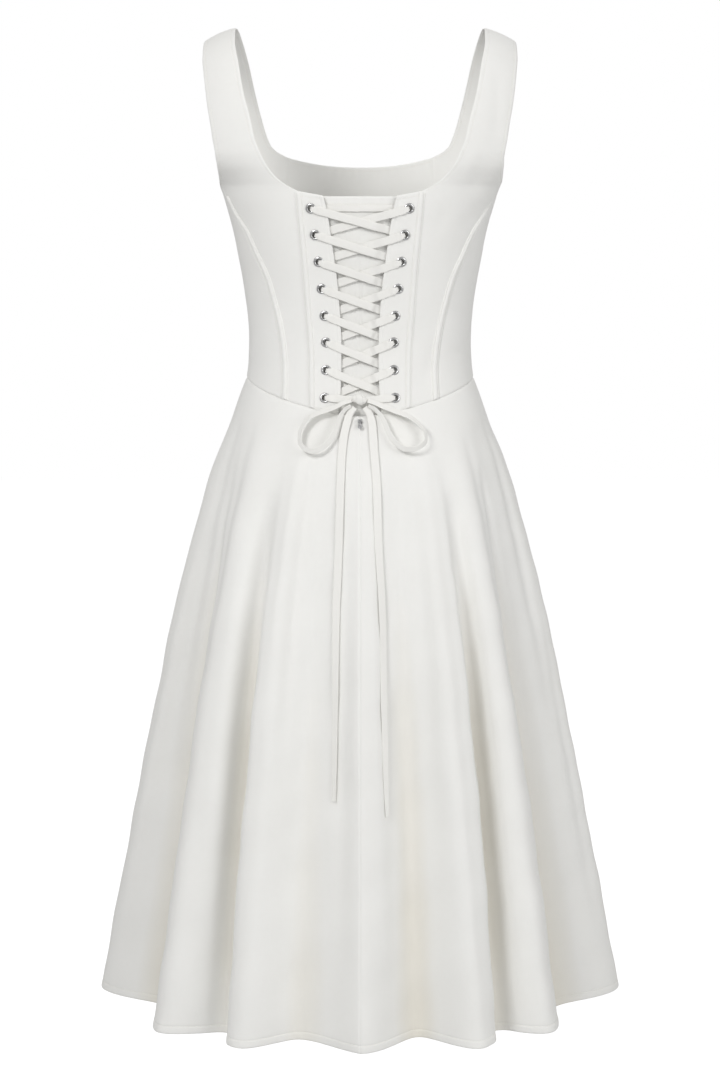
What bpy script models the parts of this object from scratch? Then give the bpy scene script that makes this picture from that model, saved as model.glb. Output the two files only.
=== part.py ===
"""A sleeveless corset dress as it hangs on a wearer: a hollow bodice of shaped panels with wide straps, a laced
back with eyelets and a bow, a zip slider with a hinged pull, and a full skirt with soft flutes.

Metres, +Z up. The back of the dress faces -Y. The origin is halfway between the tops of the straps, where the
wearer's shoulders carry it, so everything lies below it."""

import math

import bmesh
import bpy
import numpy as np
from mathutils import Matrix, Vector

# Driving sizes
HEM_LEVEL = -1.083
WAIST_CENTRE_LEVEL = -0.423
WAIST_RISE_TO_SIDE = 0.0375
WAIST_RISE_POWER = 1.6
BODICE_WALL = 0.0020
SKIRT_WALL = 0.0016
GAP = 0.0003
SEAM_HALF_GAP = 0.0002
MODESTY_WALL = 0.0012
CHANNEL_LIFT = 0.0005
CHANNEL_CROWN = np.array((0.0009, 0.0015, 0.0015, 0.0009))
FRONT_NECK_DIP = 0.0115
COLUMN_DEGREES = 3.4
FLUTE_GROWTH = 0.85
SKIRT_DROPS = (0, 0.03, 0.075, 0.13, 0.20, 0.29, 0.39, 0.50, 0.62, 0.75, 0.88, 1.0)

# The shoulder ridge, where a back strap meets a front strap: level, slope and curve outwards from the strap's
# inner edge. The arch over the shoulder starts at BLADE_LEVEL.
BLADE_LEVEL = -0.125
RIDGE_START = 0.1376
RIDGE_TOP = -0.0005
RIDGE_SLOPE = 0.22
RIDGE_CURVE = 6.2
BACK_SQUARENESS = 0.05
FRONT_SQUARENESS = 0.06

# The gentle cup of the front seams: how proud it stands, its centre and its reach
CUP_DEPTH = 0.011
CUP_X, CUP_LEVEL = 0.080, -0.215
CUP_REACH_X, CUP_REACH_Z = 0.046, 0.046


class Table:
    """Rows of numbers under named columns, read between rows on smooth curves that never overshoot."""

    def __init__(self, columns, *rows):
        self.names = columns.split()
        self.rows = np.array(sorted(rows), float)

    def column(self, name):
        return self.rows[:, self.names.index(name)]

    def at(self, name, where):
        xs, ys = self.rows[:, 0], self.column(name)
        steps = np.diff(xs)
        rises = np.diff(ys) / steps
        slopes = np.zeros(len(xs))
        same = rises[1:] * rises[:-1] > 0
        weight_1 = 2 * steps[1:] + steps[:-1]
        weight_2 = steps[1:] + 2 * steps[:-1]
        inner = np.zeros(len(xs) - 2)
        inner[same] = ((weight_1 + weight_2)[same]
                       / (weight_1[same] / rises[:-1][same] + weight_2[same] / rises[1:][same]))
        slopes[1:-1] = inner
        slopes[0], slopes[-1] = rises[0], rises[-1]
        where = np.clip(np.asarray(where, float), xs[0], xs[-1])
        k = np.clip(np.searchsorted(xs, where, side="right") - 1, 0, len(xs) - 2)
        t = (where - xs[k]) / steps[k]
        return (ys[k] * (1 + 2 * t) * (1 - t) ** 2 + slopes[k] * steps[k] * t * (1 - t) ** 2
                + ys[k + 1] * t * t * (3 - 2 * t) - slopes[k + 1] * steps[k] * t * t * (1 - t))


# The bodice as rings: half width at the side seam, and depth at the centre back and the centre front
BODICE = Table(
    "level half_width back front",
    (-0.430, 0.1345, 0.0960, 0.1035),
    (-0.400, 0.1300, 0.0905, 0.0995),
    (-0.385, 0.1272, 0.0880, 0.0975),
    (-0.367, 0.1249, 0.0860, 0.0965),
    (-0.345, 0.1243, 0.0850, 0.0965),
    (-0.316, 0.1257, 0.0855, 0.0995),
    (-0.283, 0.1300, 0.0880, 0.1060),
    (-0.250, 0.1360, 0.0925, 0.1165),
    (-0.216, 0.1435, 0.0965, 0.1235),
    (-0.190, 0.1505, 0.0990, 0.1235),
    (-0.175, 0.1556, 0.0995, 0.1215),
    (-0.166, 0.1650, 0.0998, 0.1205),
    (-0.150, 0.1880, 0.1000, 0.1190),
    (-0.138, 0.1980, 0.1000, 0.1185),
    (-0.125, 0.2000, 0.1000, 0.1185),
)

# Edges and seams of the panels: level along the form, and distance from the middle of the dress.
# Above BLADE_LEVEL a level runs along the arch of the shoulder, and it is 0 at the shoulder seam.
ARMHOLE = Table(
    "level x",
    (0.000, 0.1722),
    (-0.0485, 0.1726),
    (-0.065, 0.1712),
    (-0.095, 0.1670),
    (-0.119, 0.1612),
    (-0.145, 0.1566),
    (-0.165, 0.1549),
    (-0.1755, 0.1553),
)
BACK_NECK = Table(
    "level x",
    (0.000, 0.1372),
    (-0.0435, 0.1362),
    (-0.069, 0.1314),
    (-0.092, 0.1260),
    (-0.109, 0.1192),
    (-0.134, 0.1098),
    (-0.154, 0.1000),
    (-0.169, 0.0870),
    (-0.1770, 0.0745),
    (-0.1808, 0.0665),
)
FRONT_NECK = Table(
    "level x",
    (0.000, 0.1366),
    (-0.040, 0.1335),
    (-0.060, 0.1270),
    (-0.085, 0.1185),
    (-0.105, 0.1095),
    (-0.121, 0.1025),
    (-0.131, 0.0950),
    (-0.1375, 0.0850),
)
BACK_SEAM = Table(
    "level x",
    (-0.430, 0.0885),
    (-0.400, 0.0866),
    (-0.375, 0.0860),
    (-0.3505, 0.0875),
    (-0.3255, 0.0915),
    (-0.3005, 0.0975),
    (-0.274, 0.1048),
    (-0.251, 0.1148),
    (-0.2227, 0.1275),
    (-0.2047, 0.1386),
    (-0.185, 0.1480),
    (-0.1693, 0.1547),
)
FRONT_SEAM = Table(
    "level x",
    (-0.430, 0.0600),
    (-0.385, 0.0580),
    (-0.330, 0.0610),
    (-0.280, 0.0700),
    (-0.215, 0.0835),
    (-0.170, 0.0860),
    (-0.1375, 0.0850),
)
BAND_SEAM = Table(
    "level x",
    (-0.430, 0.0530),
    (-0.413, 0.0528),
    (-0.363, 0.0530),
    (-0.316, 0.0560),
    (-0.286, 0.0580),
    (-0.244, 0.0612),
    (-0.213, 0.0640),
    (-0.1808, 0.0665),
)
OPENING = Table(
    "level x",
    (-0.430, 0.0235),
    (-0.4186, 0.0232),
    (-0.400, 0.0214),
    (-0.3736, 0.0205),
    (-0.345, 0.0203),
    (-0.316, 0.0216),
    (-0.286, 0.0239),
    (-0.2566, 0.0275),
    (-0.228, 0.0316),
    (-0.198, 0.0365),
    (-0.1858, 0.0400),
)

# Levels of the rows that neighbouring panels share below the underarm, and below the last of them the shares
# of the way down to the waist seam
SHARED_LEVELS = (-0.200, -0.218, -0.240, -0.265, -0.290, -0.316, -0.342)
CUP_LEVELS = (-0.1375, -0.150, -0.160, -0.172, -0.185)
WAIST_SHARES = np.array((1 / 3, 2 / 3, 1.0))

# Eyelets: distance from the middle and level, a row for each pair
EYELETS = (
    (0.0531, -0.1994),
    (0.0485, -0.2277),
    (0.0448, -0.2566),
    (0.0415, -0.2856),
    (0.0385, -0.3148),
    (0.0369, -0.3437),
    (0.0370, -0.3736),
    (0.0383, -0.4036),
)
EYELET_HOLE = 0.0031
EYELET_FLANGE = 0.0057
BAND_HOLE = 0.0041
FLANGE_THICKNESS = 0.0007

# The skirt: share of the way from the side seam's waist width to its hem width, by share of the drop
FLARE = Table(
    "drop spread",
    (0.000, 0.000),
    (0.022, 0.040),
    (0.070, 0.118),
    (0.118, 0.200),
    (0.167, 0.272),
    (0.266, 0.388),
    (0.365, 0.492),
    (0.464, 0.580),
    (0.564, 0.662),
    (0.666, 0.745),
    (0.766, 0.822),
    (0.870, 0.902),
    (1.000, 1.000),
)
HEM_HALF_WIDTH = 0.281
HEM_BACK = 0.243
HEM_FRONT = 0.246

# The flutes of the skirt, a row for each: angle of its crest from the centre back towards +X, how far the
# crest stands out at the hem, then the angle of the trough after it, how far that lies in, and the drop
# at which the flute starts
FLUTES = (
    (0, 0.0180, 14, 0.0260, 0.07),
    (25, 0.0270, 34, 0.0080, 0.05),
    (43, 0.0230, 59, 0.0270, 0.05),
    (82, 0.0190, 97, 0.0200, 0.08),
    (110, 0.0230, 126, 0.0230, 0.10),
    (140, 0.0250, 153, 0.0220, 0.08),
    (166, 0.0190, 178, 0.0200, 0.11),
    (190, 0.0230, 203, 0.0240, 0.08),
    (217, 0.0250, 231, 0.0220, 0.10),
    (248, 0.0220, 263, 0.0190, 0.08),
    (278, 0.0190, 300, 0.0290, 0.06),
    (315, 0.0300, 327, 0.0050, 0.05),
    (335, 0.0260, 346, 0.0200, 0.05),
)

# The flat lace: it narrows where it passes through an eyelet
LACE_WIDTH = 0.0088
LACE_THICKNESS = 0.0010
LACE_IN_HOLE = 0.0044
LACE_BEHIND = -0.0037
KNOT_X, KNOT_LEVEL, KNOT_HEIGHT = -0.0005, -0.4058, 0.0050
KNOT_RADII = (0.0085, 0.0042, 0.0056)

# The bow's loops and the tails, as points that the lace passes: distance from the middle towards +X, level,
# height over the cloth, and width
LOOP_LEFT = (
    (-0.0092, -0.4072, 0.0066, 0.0050),
    (-0.0165, -0.4092, 0.0072, 0.0060),
    (-0.0255, -0.4138, 0.0080, 0.0070),
    (-0.0355, -0.4178, 0.0085, 0.0076),
    (-0.0451, -0.4222, 0.0090, 0.0076),
    (-0.0530, -0.4274, 0.0095, 0.0074),
    (-0.0586, -0.4338, 0.0100, 0.0070),
    (-0.0625, -0.4425, 0.0105, 0.0064),
    (-0.0632, -0.4520, 0.0110, 0.0058),
    (-0.0595, -0.4598, 0.0110, 0.0056),
    (-0.0520, -0.4630, 0.0110, 0.0058),
    (-0.0440, -0.4610, 0.0105, 0.0062),
    (-0.0365, -0.4555, 0.0098, 0.0066),
    (-0.0305, -0.4482, 0.0090, 0.0066),
    (-0.0262, -0.4400, 0.0085, 0.0062),
    (-0.0232, -0.4315, 0.0080, 0.0058),
    (-0.0200, -0.4230, 0.0076, 0.0052),
    (-0.0155, -0.4165, 0.0072, 0.0046),
    (-0.0098, -0.4125, 0.0062, 0.0040),
)
LOOP_RIGHT = (
    (0.0082, -0.4074, 0.0066, 0.0050),
    (0.0160, -0.4098, 0.0072, 0.0060),
    (0.0237, -0.4132, 0.0080, 0.0070),
    (0.0318, -0.4164, 0.0085, 0.0074),
    (0.0402, -0.4200, 0.0090, 0.0076),
    (0.0480, -0.4240, 0.0095, 0.0076),
    (0.0555, -0.4290, 0.0100, 0.0074),
    (0.0625, -0.4352, 0.0105, 0.0070),
    (0.0678, -0.4430, 0.0110, 0.0064),
    (0.0686, -0.4515, 0.0110, 0.0058),
    (0.0640, -0.4582, 0.0110, 0.0056),
    (0.0560, -0.4612, 0.0110, 0.0058),
    (0.0480, -0.4604, 0.0105, 0.0062),
    (0.0405, -0.4562, 0.0098, 0.0066),
    (0.0345, -0.4496, 0.0090, 0.0066),
    (0.0300, -0.4415, 0.0085, 0.0062),
    (0.0265, -0.4325, 0.0080, 0.0058),
    (0.0222, -0.4240, 0.0076, 0.0052),
    (0.0165, -0.4170, 0.0072, 0.0046),
    (0.0088, -0.4125, 0.0062, 0.0040),
)
TAIL_LEFT = (
    (-0.0058, -0.4140, 0.0036, 0.0060),
    (-0.0105, -0.4200, 0.0040, 0.0074),
    (-0.0138, -0.4290, 0.0028, 0.0086),
    (-0.0178, -0.4467, 0.0020, 0.0088),
    (-0.0200, -0.4726, 0.0018, 0.0088),
    (-0.0215, -0.5229, 0.0018, 0.0088),
    (-0.0230, -0.5770, 0.0018, 0.0088),
    (-0.0252, -0.6340, 0.0018, 0.0086),
    (-0.0258, -0.6800, 0.0018, 0.0080),
    (-0.0262, -0.7241, 0.0018, 0.0074),
    (-0.0270, -0.7862, 0.0018, 0.0066),
    (-0.0275, -0.8274, 0.0018, 0.0040),
)
TAIL_RIGHT = (
    (0.0050, -0.4140, 0.0036, 0.0060),
    (0.0098, -0.4200, 0.0040, 0.0074),
    (0.0130, -0.4320, 0.0028, 0.0086),
    (0.0150, -0.4573, 0.0020, 0.0088),
    (0.0178, -0.4969, 0.0018, 0.0088),
    (0.0192, -0.5531, 0.0018, 0.0088),
    (0.0228, -0.6143, 0.0018, 0.0088),
    (0.0243, -0.6557, 0.0018, 0.0086),
    (0.0246, -0.7241, 0.0018, 0.0080),
    (0.0256, -0.7634, 0.0018, 0.0074),
    (0.0260, -0.8027, 0.0018, 0.0066),
    (0.0276, -0.8429, 0.0018, 0.0048),
)

# The zip: slider with two lugs and a bar, and the pull that swings on the bar, below the knot
BAR_LEVEL = -0.4292
SLIDER_WIDTH, SLIDER_THICKNESS = 0.0048, 0.0016
SLIDER_ABOVE_BAR, SLIDER_BELOW_BAR = 0.0026, 0.0052
LUG_INSIDE, LUG_OUTSIDE, LUG_HALF_LENGTH = 0.00120, 0.00205, 0.0012
BAR_RADIUS = 0.0005
BAR_HEIGHT = 0.0042
EYE_HOLE, EYE_RIM, EYE_HALF_WIDTH = 0.00088, 0.0017, 0.00080
PULL_LENGTH, PULL_WIDTH, PULL_THICKNESS = 0.0092, 0.0052, 0.0010

BACK, FRONT = -1, 1


def ring(u, level, face):
    """Points of the bodice ring: u is the angle from the centre towards +X, and each ring is an ellipse with
    its four shoulders pushed out a little. Returns x and the unsigned depth."""
    squareness = BACK_SQUARENESS if face == BACK else FRONT_SQUARENESS
    stretch = 1 + squareness * np.sin(2 * u) ** 2
    depth = BODICE.at("back" if face == BACK else "front", level)
    return BODICE.at("half_width", level) * np.sin(u) * stretch, depth * np.cos(u) * stretch


def ridge(x):
    out = np.maximum(np.abs(x) - RIDGE_START, -0.02)
    return RIDGE_TOP - RIDGE_SLOPE * out - RIDGE_CURVE * out * np.abs(out)


def form(u, level, face):
    """The outer surface of the bodice. Above BLADE_LEVEL each point keeps its place across the dress, and its
    depth and height follow a quarter of an ellipse up to the shoulder ridge."""
    u, level = np.broadcast_arrays(np.asarray(u, float), np.asarray(level, float))
    x, depth = ring(u, np.minimum(level, BLADE_LEVEL), face)
    turn = np.clip(1 - level / BLADE_LEVEL, 0, 1) * math.pi / 2
    depth = depth * np.cos(turn)
    z = np.where(level > BLADE_LEVEL, BLADE_LEVEL + (ridge(x) - BLADE_LEVEL) * np.sin(turn), level)
    if face == FRONT:
        depth = depth + CUP_DEPTH * np.exp(
            -(((np.abs(x) - CUP_X) / CUP_REACH_X) ** 2) - ((level - CUP_LEVEL) / CUP_REACH_Z) ** 2
        ) * np.cos(u) ** 0.5
    return np.stack([x, face * depth, z], axis=-1)


def angle_at(x, level, face):
    """The ring angle at which the form has this x."""
    x, level = np.broadcast_arrays(np.asarray(x, float), np.asarray(level, float))
    low, high = np.zeros(x.shape), np.full(x.shape, math.pi / 2)
    for _ in range(40):
        middle = (low + high) / 2
        short = ring(middle, np.minimum(level, BLADE_LEVEL), face)[0] < np.abs(x)
        low, high = np.where(short, middle, low), np.where(short, high, middle)
    return np.sign(x) * (low + high) / 2


def raised(u, level, face, height):
    """The form moved out along its normal by a height."""
    step = 1e-4
    across = form(u + step, level, face) - form(u - step, level, face)
    along = form(u, level + step, face) - form(u, level - step, face)
    normal = np.cross(across, along) * -face
    normal /= np.linalg.norm(normal, axis=-1, keepdims=True)
    return form(u, level, face) + normal * np.asarray(height, float)[..., None]


def back_at(x, level, height):
    return raised(angle_at(x, level, BACK), level, BACK, height)


def waist_level(u):
    return WAIST_CENTRE_LEVEL + WAIST_RISE_TO_SIDE * np.abs(np.sin(u)) ** WAIST_RISE_POWER


def material(name, colour, roughness, metallic=0.0):
    made = bpy.data.materials.new(name)
    made.use_nodes = True
    shader = made.node_tree.nodes["Principled BSDF"]
    shader.inputs["Base Color"].default_value = (*colour, 1)
    shader.inputs["Roughness"].default_value = roughness
    shader.inputs["Metallic"].default_value = metallic
    made.diffuse_color = (*colour, 1)
    return made


def add(name, points, faces, look):
    mesh = bpy.data.meshes.new(name)
    mesh.from_pydata([tuple(p) for p in points], [], [tuple(f) for f in faces])
    mesh.materials.append(look)
    made = bpy.data.objects.new(name, mesh)
    bpy.context.scene.collection.objects.link(made)
    mesh.shade_smooth()
    mesh.set_sharp_from_angle(angle=math.radians(50))
    return made


def grid_faces(rows, columns, first, flip):
    cells = []
    for r in range(rows - 1):
        for c in range(columns - 1):
            a = first + r * columns + c
            cell = (a, a + 1, a + columns + 1, a + columns)
            cells.append(cell[::-1] if flip else cell)
    return cells


def wall(name, outside, inside, look):
    """A closed wall between two grids of points: the outer face, the inner face and the rim round them."""
    rows, columns = outside.shape[:2]
    count = rows * columns
    faces = grid_faces(rows, columns, 0, False) + grid_faces(rows, columns, count, True)
    rim = [c for c in range(columns)]
    rim += [r * columns + columns - 1 for r in range(1, rows)]
    rim += [(rows - 1) * columns + c for c in range(columns - 2, -1, -1)]
    rim += [r * columns for r in range(rows - 2, 0, -1)]
    for a, b in zip(rim, rim[1:] + rim[:1]):
        faces.append((b, a, a + count, b + count))
    points = np.concatenate([outside.reshape(-1, 3), inside.reshape(-1, 3)])
    made = add(name, points, faces, look)
    turn_outwards(made)
    return made


def turn_outwards(made):
    mesh = bmesh.new()
    mesh.from_mesh(made.data)
    bmesh.ops.recalc_face_normals(mesh, faces=mesh.faces)
    mesh.to_mesh(made.data)
    mesh.free()


def bodice_wall(name, u, level, face, side, look, height=0.0, thickness=BODICE_WALL):
    """A wall of the bodice over a grid of angles and levels, mirrored for the left side."""
    height = np.broadcast_to(np.asarray(height, float), u.shape)
    outside = raised(u, level, face, height) * (side, 1, 1)
    inside = raised(u, level, face, height - thickness) * (side, 1, 1)
    return wall(name, outside, inside, look)


def above_waist(u):
    """Levels of the last rows, which ease from level to the curve of the waist seam."""
    return SHARED_LEVELS[-1] + (waist_level(u) + GAP - SHARED_LEVELS[-1]) * WAIST_SHARES[:, None]


def edge(table, levels, face, inset=0.0, to_waist=False):
    """Angles and levels of an edge at these levels, and on down to the waist seam if asked, moved across the
    surface by inset, away from the middle if positive."""
    levels = np.array(levels)
    if to_waist:
        last = np.full(len(WAIST_SHARES), WAIST_CENTRE_LEVEL)
        for _ in range(8):
            last = np.diag(above_waist(angle_at(table.at("x", last), last, face)))
        levels = np.append(levels, last)
    u = angle_at(table.at("x", levels), levels, face)
    pace = np.linalg.norm(form(u + 1e-3, levels, face) - form(u - 1e-3, levels, face), axis=-1) / 2e-3
    return u + inset / pace, levels


def joined(*edges):
    return tuple(np.concatenate(column) for column in zip(*edges))


def panel_grid(inner, outer, columns):
    """Angles and levels of rows that run from an inner edge to an outer edge, the last along the waist seam."""
    share = np.linspace(0, 1, columns)
    u = inner[0][:, None] + (outer[0] - inner[0])[:, None] * share
    level = inner[1][:, None] + (outer[1] - inner[1])[:, None] * share
    return u, ease_to_waist(u, level)


def ease_to_waist(u, level):
    last = len(WAIST_SHARES)
    level[-last:] = SHARED_LEVELS[-1] + (waist_level(u[-last:]) + GAP - SHARED_LEVELS[-1]) * WAIST_SHARES[:, None]
    return level


def arch_levels(*shares):
    """Levels along the shoulder's arch, the first of them just clear of the shoulder seam."""
    clear = SEAM_HALF_GAP / 0.14
    return [BLADE_LEVEL * share for share in (clear, *shares)]


def side_seam(levels):
    levels = np.append(levels, above_waist(math.pi / 2)[:, 0])
    return np.full(levels.shape, math.pi / 2 - SEAM_HALF_GAP / 0.12), levels


def back_panel(side, look):
    arch = arch_levels(0.16, 0.34, 0.54, 0.76)
    neck = edge(BACK_NECK, (*arch, -0.125, -0.139, -0.151, -0.161, -0.169, -0.1755, -0.1790), BACK)
    band = edge(BAND_SEAM, (-0.1808, *SHARED_LEVELS), BACK, SEAM_HALF_GAP, True)
    arm = edge(ARMHOLE, (*arch, -0.123, -0.135, -0.145, -0.153, -0.160, -0.1655), BACK)
    seam = edge(BACK_SEAM, (-0.1693, -0.1850, *SHARED_LEVELS), BACK, -SEAM_HALF_GAP, True)
    u, level = panel_grid(joined(neck, band), joined(arm, seam), 6)
    return bodice_wall(f"back_panel_{NAMES[side]}", u, level, BACK, side, look)


def armhole_level(u, face):
    """The level at which the armhole's low edge crosses each angle."""
    low, high = np.full(u.shape, -0.1755), np.full(u.shape, -0.150)
    for _ in range(40):
        middle = (low + high) / 2
        inside = ring(u, middle, face)[0] < ARMHOLE.at("x", middle)
        low, high = np.where(inside, middle, low), np.where(inside, high, middle)
    return low


def side_back(side, look):
    inner = edge(BACK_SEAM, (-0.1693, -0.1850, *SHARED_LEVELS), BACK, SEAM_HALF_GAP, True)
    outer = side_seam((-0.1752, -0.1880, *SHARED_LEVELS))
    u, level = panel_grid(inner, outer, 6)
    level[0, 1:-1] = armhole_level(u[0, 1:-1], BACK)
    return bodice_wall(f"side_back_{NAMES[side]}", u, level, BACK, side, look)


def front_side(side, look):
    arch = arch_levels(0.16, 0.34, 0.54, 0.76)
    neck = edge(FRONT_NECK, (*arch, -0.119, -0.127, -0.1330), FRONT)
    seam = edge(FRONT_SEAM, (*CUP_LEVELS, *SHARED_LEVELS), FRONT, SEAM_HALF_GAP, True)
    arm = edge(ARMHOLE, (*arch, -0.123, -0.140, -0.152, -0.160, -0.1660, -0.1706), FRONT)
    under = side_seam((-0.1752, -0.1880, *SHARED_LEVELS))
    u, level = panel_grid(joined(neck, seam), joined(arm, under), 9)
    return bodice_wall(f"front_side_{NAMES[side]}", u, level, FRONT, side, look)


def front_centre(look):
    seam_u, seam_level = edge(FRONT_SEAM, (*CUP_LEVELS, *SHARED_LEVELS), FRONT, -SEAM_HALF_GAP, True)
    share = np.linspace(-1, 1, 11)
    dip = FRONT_NECK_DIP * (1 - np.abs(share) ** 2.4)
    fade = np.clip(1 - np.arange(len(seam_level)) / len(CUP_LEVELS), 0, 1)[:, None]
    u = seam_u[:, None] * share
    level = ease_to_waist(u, seam_level[:, None] - dip * fade)
    return bodice_wall("front_centre", u, level, FRONT, 1, look)


def eyelet_place(side, x, level):
    """The middle of an eyelet on the band's outer face, and the outward direction there."""
    centre = Vector(back_at(x, level, 0.0))
    normal = (Vector(back_at(x, level, 0.001)) - centre).normalized()
    return Vector((centre.x * side, centre.y, centre.z)), Vector((normal.x * side, normal.y, normal.z))


def lacing_band(side, look):
    outer = edge(BAND_SEAM, (-0.1808, *SHARED_LEVELS), BACK, -SEAM_HALF_GAP, True)
    inner = edge(OPENING, (-0.1858, *SHARED_LEVELS), BACK, 0.0, True)
    u, level = panel_grid(inner, outer, 4)
    made = bodice_wall(f"lacing_band_{NAMES[side]}", u, level, BACK, side, look)
    for row, (x, level) in enumerate(EYELETS, 1):
        centre, normal = eyelet_place(side, x, level)
        bpy.ops.mesh.primitive_cylinder_add(vertices=12, radius=BAND_HOLE, depth=0.012, location=centre)
        cutter = bpy.context.object
        cutter.name = f"hole_{NAMES[side]}_{row}"
        cutter.rotation_euler = normal.to_track_quat("Z", "Y").to_euler()
        cutter.hide_render = True
        cutter.display_type = "WIRE"
        cut = made.modifiers.new(f"Hole {row}", "BOOLEAN")
        cut.operation = "DIFFERENCE"
        cut.object = cutter
    return made


def turned(name, profile, steps, centre, axis, look):
    """A closed profile of radius and height pairs, turned about an axis."""
    turn = axis.to_track_quat("Z", "Y").to_matrix()
    points, faces = [], []
    count = len(profile)
    for k in range(steps):
        angle = 2 * math.pi * k / steps
        after = (k + 1) % steps
        for j, (radius, height) in enumerate(profile):
            nxt = (j + 1) % count
            points.append(centre + turn @ Vector((radius * math.cos(angle), radius * math.sin(angle), height)))
            faces.append((k * count + j, after * count + j, after * count + nxt, k * count + nxt))
    made = add(name, points, faces, look)
    turn_outwards(made)
    return made


def eyelet(side, row, look):
    """A flanged tube through the band, clear of it all round."""
    centre, normal = eyelet_place(side, *EYELETS[row - 1])
    front, back = GAP, -BODICE_WALL - GAP
    tube = BAND_HOLE - GAP
    profile = (
        (EYELET_HOLE, back - FLANGE_THICKNESS),
        (EYELET_FLANGE - 0.0008, back - FLANGE_THICKNESS),
        (EYELET_FLANGE - 0.0005, back),
        (tube, back),
        (tube, front),
        (EYELET_FLANGE, front),
        (EYELET_FLANGE - 0.0010, front + FLANGE_THICKNESS),
        (EYELET_HOLE + 0.0005, front + FLANGE_THICKNESS),
    )
    return turned(f"eyelet_{NAMES[side]}_{row}", profile, 12, centre, normal, look)


def channel(name, table, first, offset, width, side, look):
    """A narrow raised strip beside a seam: its columns are the panel's own points, moved out."""
    u, levels = edge(table, (*first, *SHARED_LEVELS), BACK, 0.0, True)
    pace = np.linalg.norm(form(u + 1e-3, levels, BACK) - form(u - 1e-3, levels, BACK), axis=-1) / 2e-3
    across = np.array([-0.5, -0.22, 0.22, 0.5]) * width + offset
    u = u[:, None] + across / pace[:, None]
    level = ease_to_waist(u, np.repeat(levels[:, None], len(across), axis=1))
    outside = raised(u, level, BACK, np.broadcast_to(CHANNEL_LIFT + CHANNEL_CROWN, u.shape)) * (side, 1, 1)
    inside = raised(u, level, BACK, np.full(u.shape, CHANNEL_LIFT)) * (side, 1, 1)
    return wall(name, outside, inside, look)


def modesty_panel(look):
    """Behind the lacing: it sinks to leave room for the lace, and its sides rise to the backs of the panels."""
    levels = np.array((-0.1866, *SHARED_LEVELS, -0.368, -0.392, WAIST_CENTRE_LEVEL))
    half = BAND_SEAM.at("x", levels) + 0.012
    share = np.array([-1, -0.94, -0.76, -0.4, 0, 0.4, 0.76, 0.94, 1])
    height = -np.array([2.7, 3.1, 5.2, 5.4, 5.4, 5.4, 5.2, 3.1, 2.7]) * 1e-3
    level = np.repeat(levels[:, None], len(share), axis=1)
    u = angle_at(half[:, None] * share, level, BACK)
    level = ease_to_waist(u, level)
    return bodice_wall("modesty_panel", u, level, BACK, 1, look, height, MODESTY_WALL)


def flute(theta, drop):
    """How far the flutes stand out: a smooth curve through the crests and troughs round the skirt, growing
    from each flute's own start down to the hem."""
    rows = []
    for crest, out, trough, into, start in FLUTES:
        rows.append((crest, out, start))
        rows.append((trough, -into, start))
    rows = [(rows[-1][0] - 360, *rows[-1][1:]), *rows, (rows[0][0] + 360, *rows[0][1:])]
    table = Table("angle out start", *rows)
    angle = np.degrees(theta) % 360
    start = table.at("start", angle)
    return table.at("out", angle) * np.clip((drop - start) / (1 - start), 0, 1) ** FLUTE_GROWTH


def skirt_point(theta, drop):
    """The outer face of the skirt. theta runs from the centre back towards +X and all the way round, and drop
    from the waist seam to the hem. Each point moves from the waist's ring to the hem's ellipse by the share
    in FLARE, then out by its flute."""
    theta, drop = np.broadcast_arrays(np.asarray(theta, float), np.asarray(drop, float))
    rear = np.cos(theta) >= 0
    u = np.arcsin(np.clip(np.sin(theta), -1, 1))
    top = waist_level(u) - GAP
    waist = np.where(rear[..., None], form(u, top, BACK), form(u, top, FRONT))
    hem_depth = np.where(rear, HEM_BACK, HEM_FRONT)
    hem = np.stack([HEM_HALF_WIDTH * np.sin(theta), -hem_depth * np.cos(theta)], axis=-1)
    outward = hem / np.stack([np.full(hem_depth.shape, HEM_HALF_WIDTH), hem_depth], axis=-1) ** 2
    outward /= np.linalg.norm(outward, axis=-1, keepdims=True)
    spread = FLARE.at("spread", drop)[..., None]
    place = waist[..., :2] * (1 - spread) + hem * spread + outward * flute(theta, drop)[..., None]
    return np.concatenate([place, (top + (HEM_LEVEL - top) * drop)[..., None]], axis=-1)


def skirt_raised(theta, drop, height):
    step = 1e-3
    low, high = np.maximum(drop - step, 0), np.minimum(drop + step, 1)
    along = skirt_point(theta, high) - skirt_point(theta, low)
    across = skirt_point(theta + step, drop) - skirt_point(theta - step, drop)
    normal = np.cross(along, across)
    normal /= np.linalg.norm(normal, axis=-1, keepdims=True)
    return skirt_point(theta, drop) + normal * np.asarray(height, float)[..., None]


def skirt_at(x, level, height):
    """The point over the back of the skirt with this x and level before it is raised."""
    x, level = np.asarray(x, float), np.asarray(level, float)
    low, high = np.full(x.shape, -math.pi / 3), np.full(x.shape, math.pi / 3)
    for _ in range(40):
        theta = (low + high) / 2
        top = waist_level(theta) - GAP
        drop = np.clip((top - level) / (top - HEM_LEVEL), 0, 1)
        short = skirt_point(theta, drop)[..., 0] < x
        low, high = np.where(short, theta, low), np.where(short, high, theta)
    return skirt_raised(theta, drop, height)


def flute_angles(first, last):
    """Columns of the skirt: each crest and trough in this part of it, and evenly spaced ones between."""
    stops = {first, last}
    for crest, _, trough, _, _ in FLUTES:
        stops |= {angle for angle in (crest, trough) if first < angle < last}
    stops = sorted(stops)
    angles = []
    for start, end in zip(stops, stops[1:]):
        steps = max(2, round((end - start) / COLUMN_DEGREES))
        angles += [start + (end - start) * k / steps for k in range(steps)]
    return np.radians(np.array([*angles, last]))


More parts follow.
